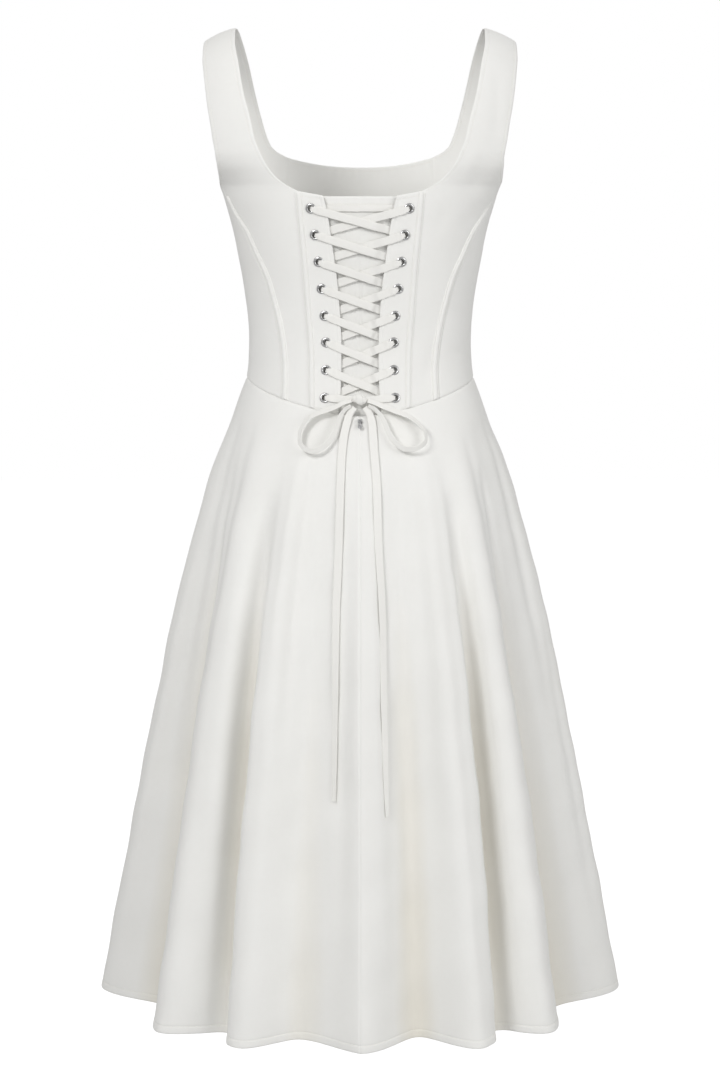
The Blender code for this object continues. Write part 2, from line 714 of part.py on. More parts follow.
def skirt_panel(name, first, last, look):
    theta, drop = np.meshgrid(flute_angles(first, last), np.array(SKIRT_DROPS))
    outside = skirt_raised(theta, drop, np.zeros(theta.shape))
    inside = skirt_raised(theta, drop, np.full(theta.shape, -SKIRT_WALL))
    for end, beside in ((0, 1), (-1, -2)):
        along = outside[:, beside] - outside[:, end]
        clear = along / np.linalg.norm(along, axis=-1, keepdims=True) * SEAM_HALF_GAP
        outside[:, end] += clear
        inside[:, end] += clear
    return wall(name, outside, inside, look)


def ribbon(name, centres, across, widths, thickness, look):
    """A flat band carried along a path: across is the direction of its width at each point."""
    tangent = np.gradient(centres, axis=0)
    tangent /= np.linalg.norm(tangent, axis=1, keepdims=True)
    across = across - tangent * (across * tangent).sum(axis=1, keepdims=True)
    across /= np.linalg.norm(across, axis=1, keepdims=True)
    normal = np.cross(across, tangent)
    half = np.asarray(widths)[:, None] / 2
    corners = [centres + across * half * a + normal * thickness / 2 * b for a, b in ((-1, -1), (1, -1), (1, 1), (-1, 1))]
    points = np.stack(corners, axis=1).reshape(-1, 3)
    count = len(centres)
    faces = [(3, 2, 1, 0), tuple(4 * (count - 1) + j for j in range(4))]
    for k in range(count - 1):
        for j in range(4):
            nxt = (j + 1) % 4
            faces.append((4 * k + j, 4 * k + nxt, 4 * k + 4 + nxt, 4 * k + 4 + j))
    made = add(name, points, faces, look)
    turn_outwards(made)
    return made


def lace_run(side, row):
    """Stations of one run of lace, from the hole of one eyelet across to the opposite eyelet of the next row:
    x, level, height over the band, width, and the direction of the run. A run that starts on the left lies
    over the other one, and only dives under the opposite band once past it."""
    over = side == -1
    x_from, level_from = EYELETS[row - 1]
    x_to, level_to = EYELETS[row]
    slope = (level_from - level_to) / (x_from + x_to)
    lap = LACE_WIDTH / math.cos(math.atan(slope)) / (2 * slope)
    own_edge = float(OPENING.at("x", level_from - slope * (x_from - 0.03)))
    far_edge = float(OPENING.at("x", level_to))
    stations = np.array((
        (-x_from, -0.0010, LACE_IN_HOLE),
        (-x_from + 0.0007, 0.0012, LACE_IN_HOLE),
        (-x_from + 0.0025, 0.0021, 0.0058),
        (-x_from + 0.0064, 0.0021, 0.0080),
        (-x_from + 0.0105, 0.0012, LACE_WIDTH),
        (-own_edge + 0.0025, 0.0011, LACE_WIDTH),
        (-lap, 0.0008 if over else -0.0018, LACE_WIDTH),
        (0.0, 0.0004 if over else -0.0020, LACE_WIDTH),
        (lap, -0.0002 if over else -0.0026, LACE_WIDTH),
        (far_edge - 0.0030, LACE_BEHIND + 0.0004, LACE_WIDTH),
        (x_to - 0.0088, LACE_BEHIND, 0.0080),
        (x_to - 0.0058, -0.0040, 0.0066),
        (x_to - 0.0022, -0.0040, 0.0048),
        (x_to - 0.0006, -0.0026, LACE_IN_HOLE),
    ))
    x, height, width = stations.T
    level = level_from - slope * (x + x_from)
    return -side * x, level, height, width, (-side, -slope)


def half_lace(name, side, look):
    """One half of the lace: from the middle of the top run, through eyelet 1, down the crossings and through
    eyelet 8, ending beside the knot."""
    pieces = []
    top_x, top_level = EYELETS[0]
    x, height, width = np.array((
        (0.00015, LACE_BEHIND, 0.0076),
        (0.0200, LACE_BEHIND, 0.0076),
        (top_x - 0.0120, LACE_BEHIND, 0.0074),
        (top_x - 0.0058, -0.0040, 0.0066),
        (top_x - 0.0022, -0.0040, 0.0048),
        (top_x - 0.0006, -0.0026, LACE_IN_HOLE),
    )).T
    pieces.append((side * x, np.full(x.shape, top_level), height, width, (side, 0)))
    for row in range(1, len(EYELETS)):
        pieces.append(lace_run(side, row))
        side = -side
    last_x, last_level = EYELETS[-1]
    x, height, width = np.array((
        (last_x, -0.0010, LACE_IN_HOLE),
        (last_x - 0.0007, 0.0012, LACE_IN_HOLE),
        (last_x - 0.0025, 0.0021, 0.0058),
        (last_x - 0.0064, 0.0021, 0.0080),
        (last_x - 0.0110, 0.0014, 0.0084),
        (0.0200, 0.0018, 0.0080),
        (0.0095, 0.0040, 0.0060),
    )).T
    pieces.append((side * x, last_level - (last_x - x) * 0.07, height, width, (side, 0)))
    x, level, height, width = (np.concatenate([piece[k] for piece in pieces]) for k in range(4))
    step = np.repeat([piece[4] for piece in pieces], [len(piece[0]) for piece in pieces], axis=0) * 1e-3
    step[step[:, 0] < 0] *= -1
    centres = over_bodice(x, level, height)
    across = over_bodice(x + step[:, 1], level - step[:, 0], height) - centres
    return ribbon(name, centres, across, width, LACE_THICKNESS, look)


def over_bodice(x, level, height):
    """A point over the back of the bodice, with x negative on the left."""
    return back_at(np.abs(x), level, height) * np.stack([np.sign(x), np.ones(x.shape), np.ones(x.shape)], axis=-1)


def over_cloth(x, level, height):
    """A point over the back of the dress: over the bodice above the waist seam, over the skirt below it."""
    on_bodice = over_bodice(x, level, height)
    on_skirt = skirt_at(x, level, height)
    share = np.clip((level - WAIST_CENTRE_LEVEL + 0.004) / 0.008, 0, 1)[..., None]
    return on_bodice * share + on_skirt * (1 - share)


def free_lace(name, rows, tilt, look):
    """A free stretch of lace through its table's points. Its width lies along the cloth, turned by tilt."""
    x, level, height, width = np.array(rows).T
    centres = over_cloth(x, level, height)
    tangent = np.gradient(centres, axis=0)
    outward = over_cloth(x, level, height + 0.001) - centres
    flat = np.cross(outward, tangent)
    flat /= np.linalg.norm(flat, axis=1, keepdims=True)
    outward /= np.linalg.norm(outward, axis=1, keepdims=True)
    across = flat * math.cos(tilt) + outward * math.sin(tilt)
    return ribbon(name, centres, across, width, LACE_THICKNESS, look)


def knot(look):
    """The bow's knot, a small rounded lump that the lace ends enter."""
    centre = back_at(abs(KNOT_X), KNOT_LEVEL, KNOT_HEIGHT) * (math.copysign(1, KNOT_X), 1, 1)
    bpy.ops.mesh.primitive_uv_sphere_add(segments=14, ring_count=8, radius=1, location=centre)
    made = bpy.context.object
    made.name = made.data.name = "bow_knot"
    made.scale = KNOT_RADII
    made.data.materials.append(look)
    made.data.shade_smooth()
    return made


def zip_frame():
    """The place of the pull's bar, the way out of the skirt there, and the way down along it."""
    at = np.array([0.0]), np.array([BAR_LEVEL])
    foot = Vector(skirt_at(*at, np.array([0.0]))[0])
    outward = (Vector(skirt_at(*at, np.array([0.001]))[0]) - foot).normalized()
    outward.x = 0
    outward.normalize()
    down = Vector((1, 0, 0)).cross(outward)
    down *= -1 if down.z > 0 else 1
    return foot, outward, down


def block(name, foot, outward, down, x_range, out_range, down_range, look):
    """A box given by its ranges across, out of and down the skirt from a foot point."""
    points = []
    for x in x_range:
        for out in out_range:
            for along in down_range:
                points.append(foot + Vector((x, 0, 0)) + outward * out + down * along)
    faces = ((0, 1, 3, 2), (4, 6, 7, 5), (0, 4, 5, 1), (2, 3, 7, 6), (0, 2, 6, 4), (1, 5, 7, 3))
    made = add(name, points, faces, look)
    turn_outwards(made)
    return made


def unite(made, others):
    for other in others:
        other.hide_render = True
        other.display_type = "WIRE"
        union = made.modifiers.new(f"With {other.name}", "BOOLEAN")
        union.operation = "UNION"
        union.object = other


def slider(look):
    foot, outward, down = zip_frame()
    half = SLIDER_WIDTH / 2
    body_top = GAP + SLIDER_THICKNESS
    outline = ((-half, -SLIDER_ABOVE_BAR), (half, -SLIDER_ABOVE_BAR), (half, 0.0012),
               (half * 0.55, SLIDER_BELOW_BAR), (-half * 0.55, SLIDER_BELOW_BAR), (-half, 0.0012))
    made = plate("zip_slider", outline, GAP, body_top, foot, outward, down, look)
    pieces = []
    for side in (-1, 1):
        sides = sorted((side * LUG_INSIDE, side * LUG_OUTSIDE))
        pieces.append(block(f"lug_{NAMES[side]}", foot, outward, down, sides,
                            (body_top - 0.0004, BAR_HEIGHT + 0.0009), (-LUG_HALF_LENGTH, LUG_HALF_LENGTH), look))
    bar = foot + outward * BAR_HEIGHT
    reach = (LUG_INSIDE + LUG_OUTSIDE) / 2
    bpy.ops.mesh.primitive_cylinder_add(vertices=10, radius=BAR_RADIUS, depth=2 * reach, location=bar)
    pieces.append(bpy.context.object)
    pieces[-1].name = "bar"
    pieces[-1].rotation_euler = (0, math.pi / 2, 0)
    unite(made, pieces)
    return made


def plate(name, outline, low, high, foot, outward, down, look):
    """A flat plate from an outline of places across and down, between two heights over the skirt."""
    count = len(outline)
    points = []
    for out in (low, high):
        points += [foot + Vector((x, 0, 0)) + down * along + outward * out for x, along in outline]
    faces = [tuple(range(count)), tuple(range(2 * count - 1, count - 1, -1))]
    for k in range(count):
        nxt = (k + 1) % count
        faces.append((k, k + count, nxt + count, nxt))
    made = add(name, points, faces, look)
    turn_outwards(made)
    return made


def pull(look):
    """The pull: an eye round the bar and a drop-shaped tab that hangs from it, lying along the skirt."""
    foot, outward, down = zip_frame()
    bar = foot + outward * BAR_HEIGHT
    profile = ((EYE_HOLE, -EYE_HALF_WIDTH), (EYE_RIM, -EYE_HALF_WIDTH), (EYE_RIM, EYE_HALF_WIDTH),
               (EYE_HOLE, EYE_HALF_WIDTH))
    eye = turned("pull_eye", profile, 16, bar, Vector((1, 0, 0)), look)
    half = PULL_THICKNESS / 2
    neck = EYE_HALF_WIDTH
    outline = [(-neck, EYE_HOLE + 0.0004), (-neck, EYE_RIM + 0.0012)]
    centre, radius = PULL_LENGTH - PULL_WIDTH / 2, PULL_WIDTH / 2
    for k in range(9):
        angle = math.radians(200 - k * 27.5)
        outline.append((radius * math.cos(angle), centre + radius * math.sin(angle)))
    outline += [(neck, EYE_RIM + 0.0012), (neck, EYE_HOLE + 0.0004)]
    tab = plate("zip_pull", outline, BAR_HEIGHT - half, BAR_HEIGHT + half, foot, outward, down, look)
    unite(tab, [eye])
    for piece in (tab, eye):
        piece.data.transform(Matrix.Translation(-bar))
        piece.location = bar
    return tab


NAMES = {-1: "left", 1: "right"}


def main():
    for old in list(bpy.data.objects):
        bpy.data.objects.remove(old, do_unlink=True)
    cloth = material("Ivory cloth", (0.86, 0.84, 0.79), 0.75)
    metal = material("Polished silver metal", (0.62, 0.62, 0.63), 0.25, 1.0)
    tape = material("Ivory lace tape", (0.88, 0.86, 0.81), 0.65)
    front_centre(cloth)
    for side, name in NAMES.items():
        front_side(side, cloth)
        side_back(side, cloth)
        back_panel(side, cloth)
        lacing_band(side, cloth)
        channel(f"band_channel_{name}", BAND_SEAM, (-0.1822,), 0.0, 0.0074, side, cloth)
        channel(f"seam_channel_{name}", BACK_SEAM, (-0.1850,), -0.0044, 0.0078, side, cloth)
        for row in range(1, len(EYELETS) + 1):
            eyelet(side, row, metal)
        half_lace(f"lace_from_{name}", side, tape)
    modesty_panel(cloth)
    knot(tape)
    free_lace("bow_loop_left", LOOP_LEFT, math.radians(35), tape)
    free_lace("bow_loop_right", LOOP_RIGHT, math.radians(-35), tape)
    free_lace("lace_tail_left", TAIL_LEFT, 0.0, tape)
    free_lace("lace_tail_right", TAIL_RIGHT, 0.0, tape)
    slider(metal)
    pull(metal)
    skirt_panel("skirt_back_right", 0, 90, cloth)
    skirt_panel("skirt_front", 90, 270, cloth)
    skirt_panel("skirt_back_left", 270, 360, cloth)


main()
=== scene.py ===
# %% [markdown]
# # A sleeveless corset dress, laced at the back
#
# The dress hangs as it is worn, seen from its laced back. Each panel is a thin shell of cloth on the same
# form as the solid panel that it stands for, so the form's few tables are repeated here and everything else
# is worked out from them: the panels, the strips on them, the lace, the bow and every line of stitches.

# %% Modules and the frame
import math

import bpy
import numpy as np
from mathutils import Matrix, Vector


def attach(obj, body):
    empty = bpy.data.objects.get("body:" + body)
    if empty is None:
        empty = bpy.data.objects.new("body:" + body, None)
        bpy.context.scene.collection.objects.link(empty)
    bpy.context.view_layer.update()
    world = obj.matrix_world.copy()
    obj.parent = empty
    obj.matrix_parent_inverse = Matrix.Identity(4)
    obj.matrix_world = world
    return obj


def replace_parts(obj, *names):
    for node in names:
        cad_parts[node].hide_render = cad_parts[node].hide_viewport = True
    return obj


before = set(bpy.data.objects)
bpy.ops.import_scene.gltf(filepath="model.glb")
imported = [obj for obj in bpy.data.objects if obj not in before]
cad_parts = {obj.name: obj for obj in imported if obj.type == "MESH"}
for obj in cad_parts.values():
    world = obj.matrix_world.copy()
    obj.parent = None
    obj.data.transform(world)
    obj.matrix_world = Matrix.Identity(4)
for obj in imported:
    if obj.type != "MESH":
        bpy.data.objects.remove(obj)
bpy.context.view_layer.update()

# %% [markdown]
# ## The camera
#
# The photograph was taken from behind the dress, about 2.6 m away at the height of the waist's middle, and
# tilted a little down, so the front hem shows below the back one. The camera comes first.

# %% Camera
CAMERA_PLACE = (0.0, -2.6, -0.238)
CAMERA_TILT = math.radians(7.297)
CAMERA_LENS = 76.89

camera = bpy.data.objects.new("Camera", bpy.data.cameras.new("Camera"))
camera.data.lens = CAMERA_LENS
camera.data.sensor_width = 36.0
camera.location = CAMERA_PLACE
camera.rotation_euler = (math.radians(90) - CAMERA_TILT, 0, 0)
bpy.context.scene.collection.objects.link(camera)
bpy.context.scene.camera = camera

# %% [markdown]
# ## Smooth curves from short tables
#
# A dress pattern is drawn with a few measured points and a French curve. The same is done here: a table has
# one row for each measured place, and a smooth curve through the rows gives every place between them. The
# curve is a monotone cubic, which never swings past its rows as an ordinary spline can.


# %% Curves through measured rows
def smooth(places, values, where):
    """A monotone cubic through values at places. Each row's slope is the weighted harmonic mean of the
    rises on its two sides, or zero where they differ in sign. values may have further axes, one curve for
    each."""
    further = (1,) * (values.ndim - 1)
    steps = np.diff(places).reshape((-1,) + further)
    rises = np.diff(values, axis=0) / steps
    slopes = np.zeros(values.shape)
    before, after = rises[:-1], rises[1:]
    weight_before, weight_after = 2 * steps[1:] + steps[:-1], steps[1:] + 2 * steps[:-1]
    same = before * after > 0
    divided = weight_before / np.where(same, before, 1) + weight_after / np.where(same, after, 1)
    slopes[1:-1] = np.where(same, (weight_before + weight_after) / divided, 0)
    slopes[0], slopes[-1] = rises[0], rises[-1]
    where = np.clip(np.asarray(where, float), places[0], places[-1])
    k = np.clip(np.searchsorted(places, where, side="right") - 1, 0, len(places) - 2)
    t = ((where - places[k]) / np.diff(places)[k]).reshape(where.shape + further)
    step = steps[k].reshape(where.shape + further)
    return (values[k] * (1 + 2 * t) * (1 - t) ** 2 + slopes[k] * step * t * (1 - t) ** 2
            + values[k + 1] * t * t * (3 - 2 * t) - slopes[k + 1] * step * t * t * (1 - t))


class Table:
    """Rows of numbers under named columns, the first of which is the place along the curve."""

    def __init__(self, columns, *rows):
        self.names = columns.split()
        self.rows = np.array(sorted(rows), float)

    def column(self, name):
        return self.rows[:, self.names.index(name)]

    def at(self, name, where):
        return smooth(self.rows[:, 0], self.column(name), where)

# %% [markdown]
# ## The form of the bodice
#
# On a figure the bodice is a stack of rings, wide at the underarm and narrow at the waist, and over the
# shoulders the straps run in arches up to a ridge. A ring could be a plain ellipse, but a back is flatter
# than that, so each ring's four shoulders are pushed out a little.

# %% Driving sizes, in metres
HEM_LEVEL = -1.083
WAIST_CENTRE_LEVEL = -0.423
WAIST_RISE_TO_SIDE = 0.0375
WAIST_RISE_POWER = 1.6
CLOTH_WALL = 0.0013
SKIRT_WALL = 0.0010
MODESTY_WALL = 0.0009
FRONT_NECK_DIP = 0.0115
FLUTE_GROWTH = 0.85

# The shoulder ridge, where a back strap meets a front strap: level, slope and curve outwards from the
# strap's inner edge. The arch over the shoulder starts at BLADE_LEVEL.
BLADE_LEVEL = -0.125
RIDGE_START = 0.1376
RIDGE_TOP = -0.0005
RIDGE_SLOPE = 0.22
RIDGE_CURVE = 6.2
BACK_SQUARENESS = 0.05
FRONT_SQUARENESS = 0.06

# The gentle cup of the front seams: how proud it stands, its centre and its reach
CUP_DEPTH = 0.011
CUP_X, CUP_LEVEL = 0.080, -0.215
CUP_REACH_X, CUP_REACH_Z = 0.046, 0.046

BACK, FRONT = -1, 1
NAMES = {-1: "left", 1: "right"}

# %% Rings, edges and seams
# The bodice as rings: half width at the side seam, and depth at the centre back and the centre front
BODICE = Table(
    "level half_width back front",
    (-0.430, 0.1345, 0.0960, 0.1035),
    (-0.400, 0.1300, 0.0905, 0.0995),
    (-0.385, 0.1272, 0.0880, 0.0975),
    (-0.367, 0.1249, 0.0860, 0.0965),
    (-0.345, 0.1243, 0.0850, 0.0965),
    (-0.316, 0.1257, 0.0855, 0.0995),
    (-0.283, 0.1300, 0.0880, 0.1060),
    (-0.250, 0.1360, 0.0925, 0.1165),
    (-0.216, 0.1435, 0.0965, 0.1235),
    (-0.190, 0.1505, 0.0990, 0.1235),
    (-0.175, 0.1556, 0.0995, 0.1215),
    (-0.166, 0.1650, 0.0998, 0.1205),
    (-0.150, 0.1880, 0.1000, 0.1190),
    (-0.138, 0.1980, 0.1000, 0.1185),
    (-0.125, 0.2000, 0.1000, 0.1185),
)

# Edges and seams of the panels: level along the form, and distance from the middle of the dress.
# Above BLADE_LEVEL a level runs along the arch of the shoulder, and it is 0 at the shoulder seam.
ARMHOLE = Table(
    "level x",
    (0.000, 0.1722),
    (-0.0485, 0.1726),
    (-0.065, 0.1712),
    (-0.095, 0.1670),
    (-0.119, 0.1612),
    (-0.145, 0.1566),
    (-0.165, 0.1549),
    (-0.1755, 0.1553),
)
BACK_NECK = Table(
    "level x",
    (0.000, 0.1372),
    (-0.0435, 0.1362),
    (-0.069, 0.1314),
    (-0.092, 0.1260),
    (-0.109, 0.1192),
    (-0.134, 0.1098),
    (-0.154, 0.1000),
    (-0.169, 0.0870),
    (-0.1770, 0.0745),
    (-0.1808, 0.0665),
)
FRONT_NECK = Table(
    "level x",
    (0.000, 0.1366),
    (-0.020, 0.1345),
    (-0.040, 0.1315),
    (-0.060, 0.1272),
    (-0.085, 0.1212),
    (-0.105, 0.1142),
    (-0.121, 0.1062),
    (-0.131, 0.0970),
    (-0.1375, 0.0850),
)
BACK_SEAM = Table(
    "level x",
    (-0.430, 0.0885),
    (-0.400, 0.0866),
    (-0.375, 0.0860),
    (-0.3505, 0.0875),
    (-0.3255, 0.0915),
    (-0.3005, 0.0975),
    (-0.274, 0.1048),
    (-0.251, 0.1148),
    (-0.2227, 0.1275),
    (-0.2047, 0.1386),
    (-0.185, 0.1480),
    (-0.1693, 0.1547),
)
FRONT_SEAM = Table(
    "level x",
    (-0.430, 0.0600),
    (-0.385, 0.0580),
    (-0.330, 0.0610),
    (-0.280, 0.0700),
    (-0.215, 0.0835),
    (-0.170, 0.0860),
    (-0.1375, 0.0850),
)
BAND_SEAM = Table(
    "level x",
    (-0.430, 0.0530),
    (-0.413, 0.0528),
    (-0.363, 0.0530),
    (-0.316, 0.0560),
    (-0.286, 0.0580),
    (-0.244, 0.0612),
    (-0.213, 0.0640),
    (-0.1808, 0.0665),
)
OPENING = Table(
    "level x",
    (-0.430, 0.0235),
    (-0.4186, 0.0232),
    (-0.400, 0.0214),
    (-0.3736, 0.0205),
    (-0.345, 0.0203),
    (-0.316, 0.0216),
    (-0.286, 0.0239),
    (-0.2566, 0.0275),
    (-0.228, 0.0316),
    (-0.198, 0.0365),
    (-0.1858, 0.0400),
)

# %% Rows that the panels share, and the eyelets
# Levels of the rows that neighbouring panels share below the underarm, and that the front panels share over
# the cup. Below the last shared level, a few rows ease from level to the curve of the waist seam.
SHARED_LEVELS = (-0.200, -0.218, -0.240, -0.265, -0.290, -0.316, -0.342)
CUP_LEVELS = (-0.1375, -0.150, -0.160, -0.172, -0.185)
WAIST_ROWS = 3

# Eyelets: distance from the middle and level, a row for each pair
EYELETS = (
    (0.0531, -0.1994),
    (0.0485, -0.2277),
    (0.0448, -0.2566),
    (0.0415, -0.2856),
    (0.0385, -0.3148),
    (0.0369, -0.3437),
    (0.0370, -0.3736),
    (0.0383, -0.4036),
)

# %% Points of the form
def ring(u, level, face):
    """Points of the bodice ring: u is the angle from the centre towards +X, and each ring is an ellipse
    with its four shoulders pushed out a little. Returns x and the unsigned depth."""
    squareness = BACK_SQUARENESS if face == BACK else FRONT_SQUARENESS
    stretch = 1 + squareness * np.sin(2 * u) ** 2
    depth = BODICE.at("back" if face == BACK else "front", level)
    return BODICE.at("half_width", level) * np.sin(u) * stretch, depth * np.cos(u) * stretch


def ridge(x):
    out = np.maximum(np.abs(x) - RIDGE_START, -0.02)
    return RIDGE_TOP - RIDGE_SLOPE * out - RIDGE_CURVE * out * np.abs(out)


def form(u, level, face):
    """The outer surface of the bodice. Above BLADE_LEVEL each point keeps its place across the dress, and
    its depth and height follow a quarter of an ellipse up to the shoulder ridge."""
    u, level = np.broadcast_arrays(np.asarray(u, float), np.asarray(level, float))
    x, depth = ring(u, np.minimum(level, BLADE_LEVEL), face)
    turn = np.clip(1 - level / BLADE_LEVEL, 0, 1) * math.pi / 2
    depth = depth * np.cos(turn)
    z = np.where(level > BLADE_LEVEL, BLADE_LEVEL + (ridge(x) - BLADE_LEVEL) * np.sin(turn), level)
    if face == FRONT:
        depth = depth + CUP_DEPTH * np.exp(
            -(((np.abs(x) - CUP_X) / CUP_REACH_X) ** 2) - ((level - CUP_LEVEL) / CUP_REACH_Z) ** 2
        ) * np.maximum(np.cos(u), 0) ** 0.5
    return np.stack([x, face * depth, z], axis=-1)


def angle_at(x, level, face):
    """The ring angle at which the form has this x."""
    x, level = np.broadcast_arrays(np.asarray(x, float), np.asarray(level, float))
    low, high = np.zeros(x.shape), np.full(x.shape, math.pi / 2)
    for _ in range(40):
        middle = (low + high) / 2
        short = ring(middle, np.minimum(level, BLADE_LEVEL), face)[0] < np.abs(x)
        low, high = np.where(short, middle, low), np.where(short, high, middle)
    return np.sign(x) * (low + high) / 2


def raised(u, level, face, height):
    """The form moved out along its normal by a height. The normal is the cross product of two steps."""
    step = 1e-4
    across = form(u + step, level, face) - form(u - step, level, face)
    along = form(u, level + step, face) - form(u, level - step, face)
    normal = np.cross(across, along) * -face
    normal /= np.linalg.norm(normal, axis=-1, keepdims=True)
    return form(u, level, face) + normal * np.asarray(height, float)[..., None]


def waist_level(u):
    return WAIST_CENTRE_LEVEL + WAIST_RISE_TO_SIDE * np.abs(np.sin(u)) ** WAIST_RISE_POWER


# %% [markdown]
# ## From a form to cloth
#
# Each panel is a grid of points: its rows run from one edge to the other, and its columns run down the
# edges. Columns and rows crowd towards the edges, because that is where cloth is turned under, sewn and
# pressed. A Solidify modifier could give the thickness, but at a seam its walls lean apart, so here both
# faces are computed and joined by a rim. The relief, which is how far each point stands off the form, is
# worked out from each point's distance to the four edges.


# %% Rows and columns of a panel
ROWS_PER_GAP = 6
CROWDED = np.array((0, 0.02, 0.045, 0.08, 0.13, 0.2, 0.3, 0.42, 0.56, 0.7, 0.85))
EDGE_OFFSETS = np.array((0, 0.0003, 0.0007, 0.0012, 0.0019, 0.0028, 0.0039, 0.0045, 0.0049, 0.0055, 0.0066))
COLUMN_PACE = 0.0024


def dense_rows(count):
    """Places between count rows: evenly in each gap, but crowded towards the first row and the last one."""
    even = np.arange(ROWS_PER_GAP * (count - 3)) / ROWS_PER_GAP + 1
    return np.concatenate([CROWDED, even, count - 1 - CROWDED[::-1]])


def edge(parts, face, to_waist=False):
    """Angles, levels and the part that each row belongs to, down an edge made of one or more tables, and on
    to the waist seam if asked."""
    coarse = np.concatenate([levels for _, levels in parts])
    owner = np.concatenate([np.full(len(levels), k) for k, (_, levels) in enumerate(parts)])
    waist_rows = WAIST_ROWS if to_waist else 0
    where = dense_rows(len(coarse) + waist_rows)
    above = where <= len(coarse) - 1
    levels = np.interp(where, np.arange(len(coarse)), coarse)
    owner = owner[np.minimum(where.astype(int), len(coarse) - 1)]
    share = np.clip((where - (len(coarse) - 1)) / max(waist_rows, 1), 0, 1)
    for _ in range(8 if to_waist else 1):
        x = np.choose(owner, [table.at("x", levels) for table, _ in parts])
        u = angle_at(x, levels, face)
        eased = SHARED_LEVELS[-1] + (waist_level(u) - SHARED_LEVELS[-1]) * share
        levels = np.where(above, levels, eased)
    return u, levels, owner, share


def columns(width):
    """Shares of the way across rows of these widths: close together near both edges, even between them."""
    reach = EDGE_OFFSETS[-1]
    count = max(3, int((width.max() - 2 * reach) / COLUMN_PACE))
    crowding = np.minimum(EDGE_OFFSETS / width[:, None], EDGE_OFFSETS / reach * 0.3)
    even = np.linspace(0, 1, count + 2)[1:-1]
    between = crowding[:, -1:] + (1 - 2 * crowding[:, -1:]) * even
    return np.concatenate([crowding, between, 1 - crowding[:, ::-1]], axis=1)


def panel_grid(inner, outer, face):
    """Angles and levels of rows from an inner edge to an outer edge, easing into the waist seam."""
    ends = form(outer[0], outer[1], face) - form(inner[0], inner[1], face)
    share = columns(np.linalg.norm(ends, axis=-1))
    u = inner[0][:, None] + (outer[0] - inner[0])[:, None] * share
    level = inner[1][:, None] + (outer[1] - inner[1])[:, None] * share
    return u, ease_to_waist(u, level, inner[3])


def ease_to_waist(u, level, share):
    eased = SHARED_LEVELS[-1] + (waist_level(u) - SHARED_LEVELS[-1]) * share[:, None]
    return np.where(share[:, None] > 0, eased, level)


# %% Distances over a grid
def run_lengths(points, axis):
    """Distance travelled over the grid along an axis, from its first point."""
    steps = np.linalg.norm(np.diff(points, axis=axis), axis=-1)
    start = np.zeros_like(np.take(steps, [0], axis=axis))
    return np.concatenate([start, np.cumsum(steps, axis=axis)], axis=axis)


def distances(points):
    """Distance of every point from the first and last column and from the first and last row."""
    across, down = run_lengths(points, 1), run_lengths(points, 0)
    return across, across[:, -1:] - across, down, down[-1:] - down


def near(distance, reach):
    """A bump that is 1 at no distance and fades past its reach, as exp(-(distance / reach) squared)."""
    return np.exp(-(distance / reach) ** 2)


# %% Closed shells
def grid_faces(rows, count, first, flip):
    """Four-sided faces of a grid of points numbered row by row from first."""
    a = first + np.arange(rows - 1)[:, None] * count + np.arange(count - 1)
    cells = np.stack([a, a + 1, a + count + 1, a + count], axis=-1).reshape(-1, 4)
    return cells[:, ::-1] if flip else cells


def make(name, points, faces, look, uv=None, smooth_angle=60, painted_shade_mask=None):
    """A mesh object from whole arrays of points and of four-sided faces. The painted shade mask, from 0 to 1
    for each point, is kept as an attribute that the cloth's colour reads as painted shade."""
    mesh = bpy.data.meshes.new(name)
    mesh.from_pydata(points.tolist(), [], faces.tolist())
    if uv is not None:
        layer = mesh.uv_layers.new(name="Cloth")
        corners = np.empty(len(mesh.loops), np.int32)
        mesh.loops.foreach_get("vertex_index", corners)
        layer.data.foreach_set("uv", uv[corners].ravel().astype(np.float32))
    if painted_shade_mask is not None:
        mesh.attributes.new("PaintedFoldShade", "FLOAT", "POINT").data.foreach_set("value", painted_shade_mask.astype(np.float32))
    mesh.materials.append(look)
    made = bpy.data.objects.new(name, mesh)
    bpy.context.scene.collection.objects.link(made)
    mesh.shade_smooth()
    mesh.set_sharp_from_angle(angle=math.radians(smooth_angle))
    if volume_of(points, faces) < 0:
        mesh.flip_normals()
    return made


def volume_of(points, faces):
    """Six times the volume inside, which is negative where the faces point inwards."""
    a, b, c, d = (points[faces[:, k]] for k in range(4))
    return float((np.cross(b - a, c - a) * a).sum() + (np.cross(c - a, d - a) * a).sum())


def shell(name, outside, inside, look, painted_shade_mask=None):
    """A closed shell between two grids: both faces and the rim round them. Its UV map holds the distance
    across and down the cloth in metres."""
    rows, count = outside.shape[:2]
    total = rows * count
    rim = np.concatenate([
        np.arange(count),
        np.arange(1, rows) * count + count - 1,
        (rows - 1) * count + np.arange(count - 2, -1, -1),
        np.arange(rows - 2, 0, -1) * count,
    ])
    after = np.roll(rim, -1)
    sides = np.stack([after, rim, rim + total, after + total], axis=-1)
    faces = np.concatenate([grid_faces(rows, count, 0, False), grid_faces(rows, count, total, True), sides])
    points = np.concatenate([outside.reshape(-1, 3), inside.reshape(-1, 3)])
    across, _, down, _ = distances(outside)
    across = across - across[:, count // 2:count // 2 + 1]
    uv = np.tile(np.stack([across, down], axis=-1).reshape(-1, 2), (2, 1))
    # The painted shade mask is the same on both faces of the shell
    painted_shade_mask = None if painted_shade_mask is None else np.tile(painted_shade_mask.ravel(), 2)
    return make(name, points, faces, look, uv, painted_shade_mask=painted_shade_mask)
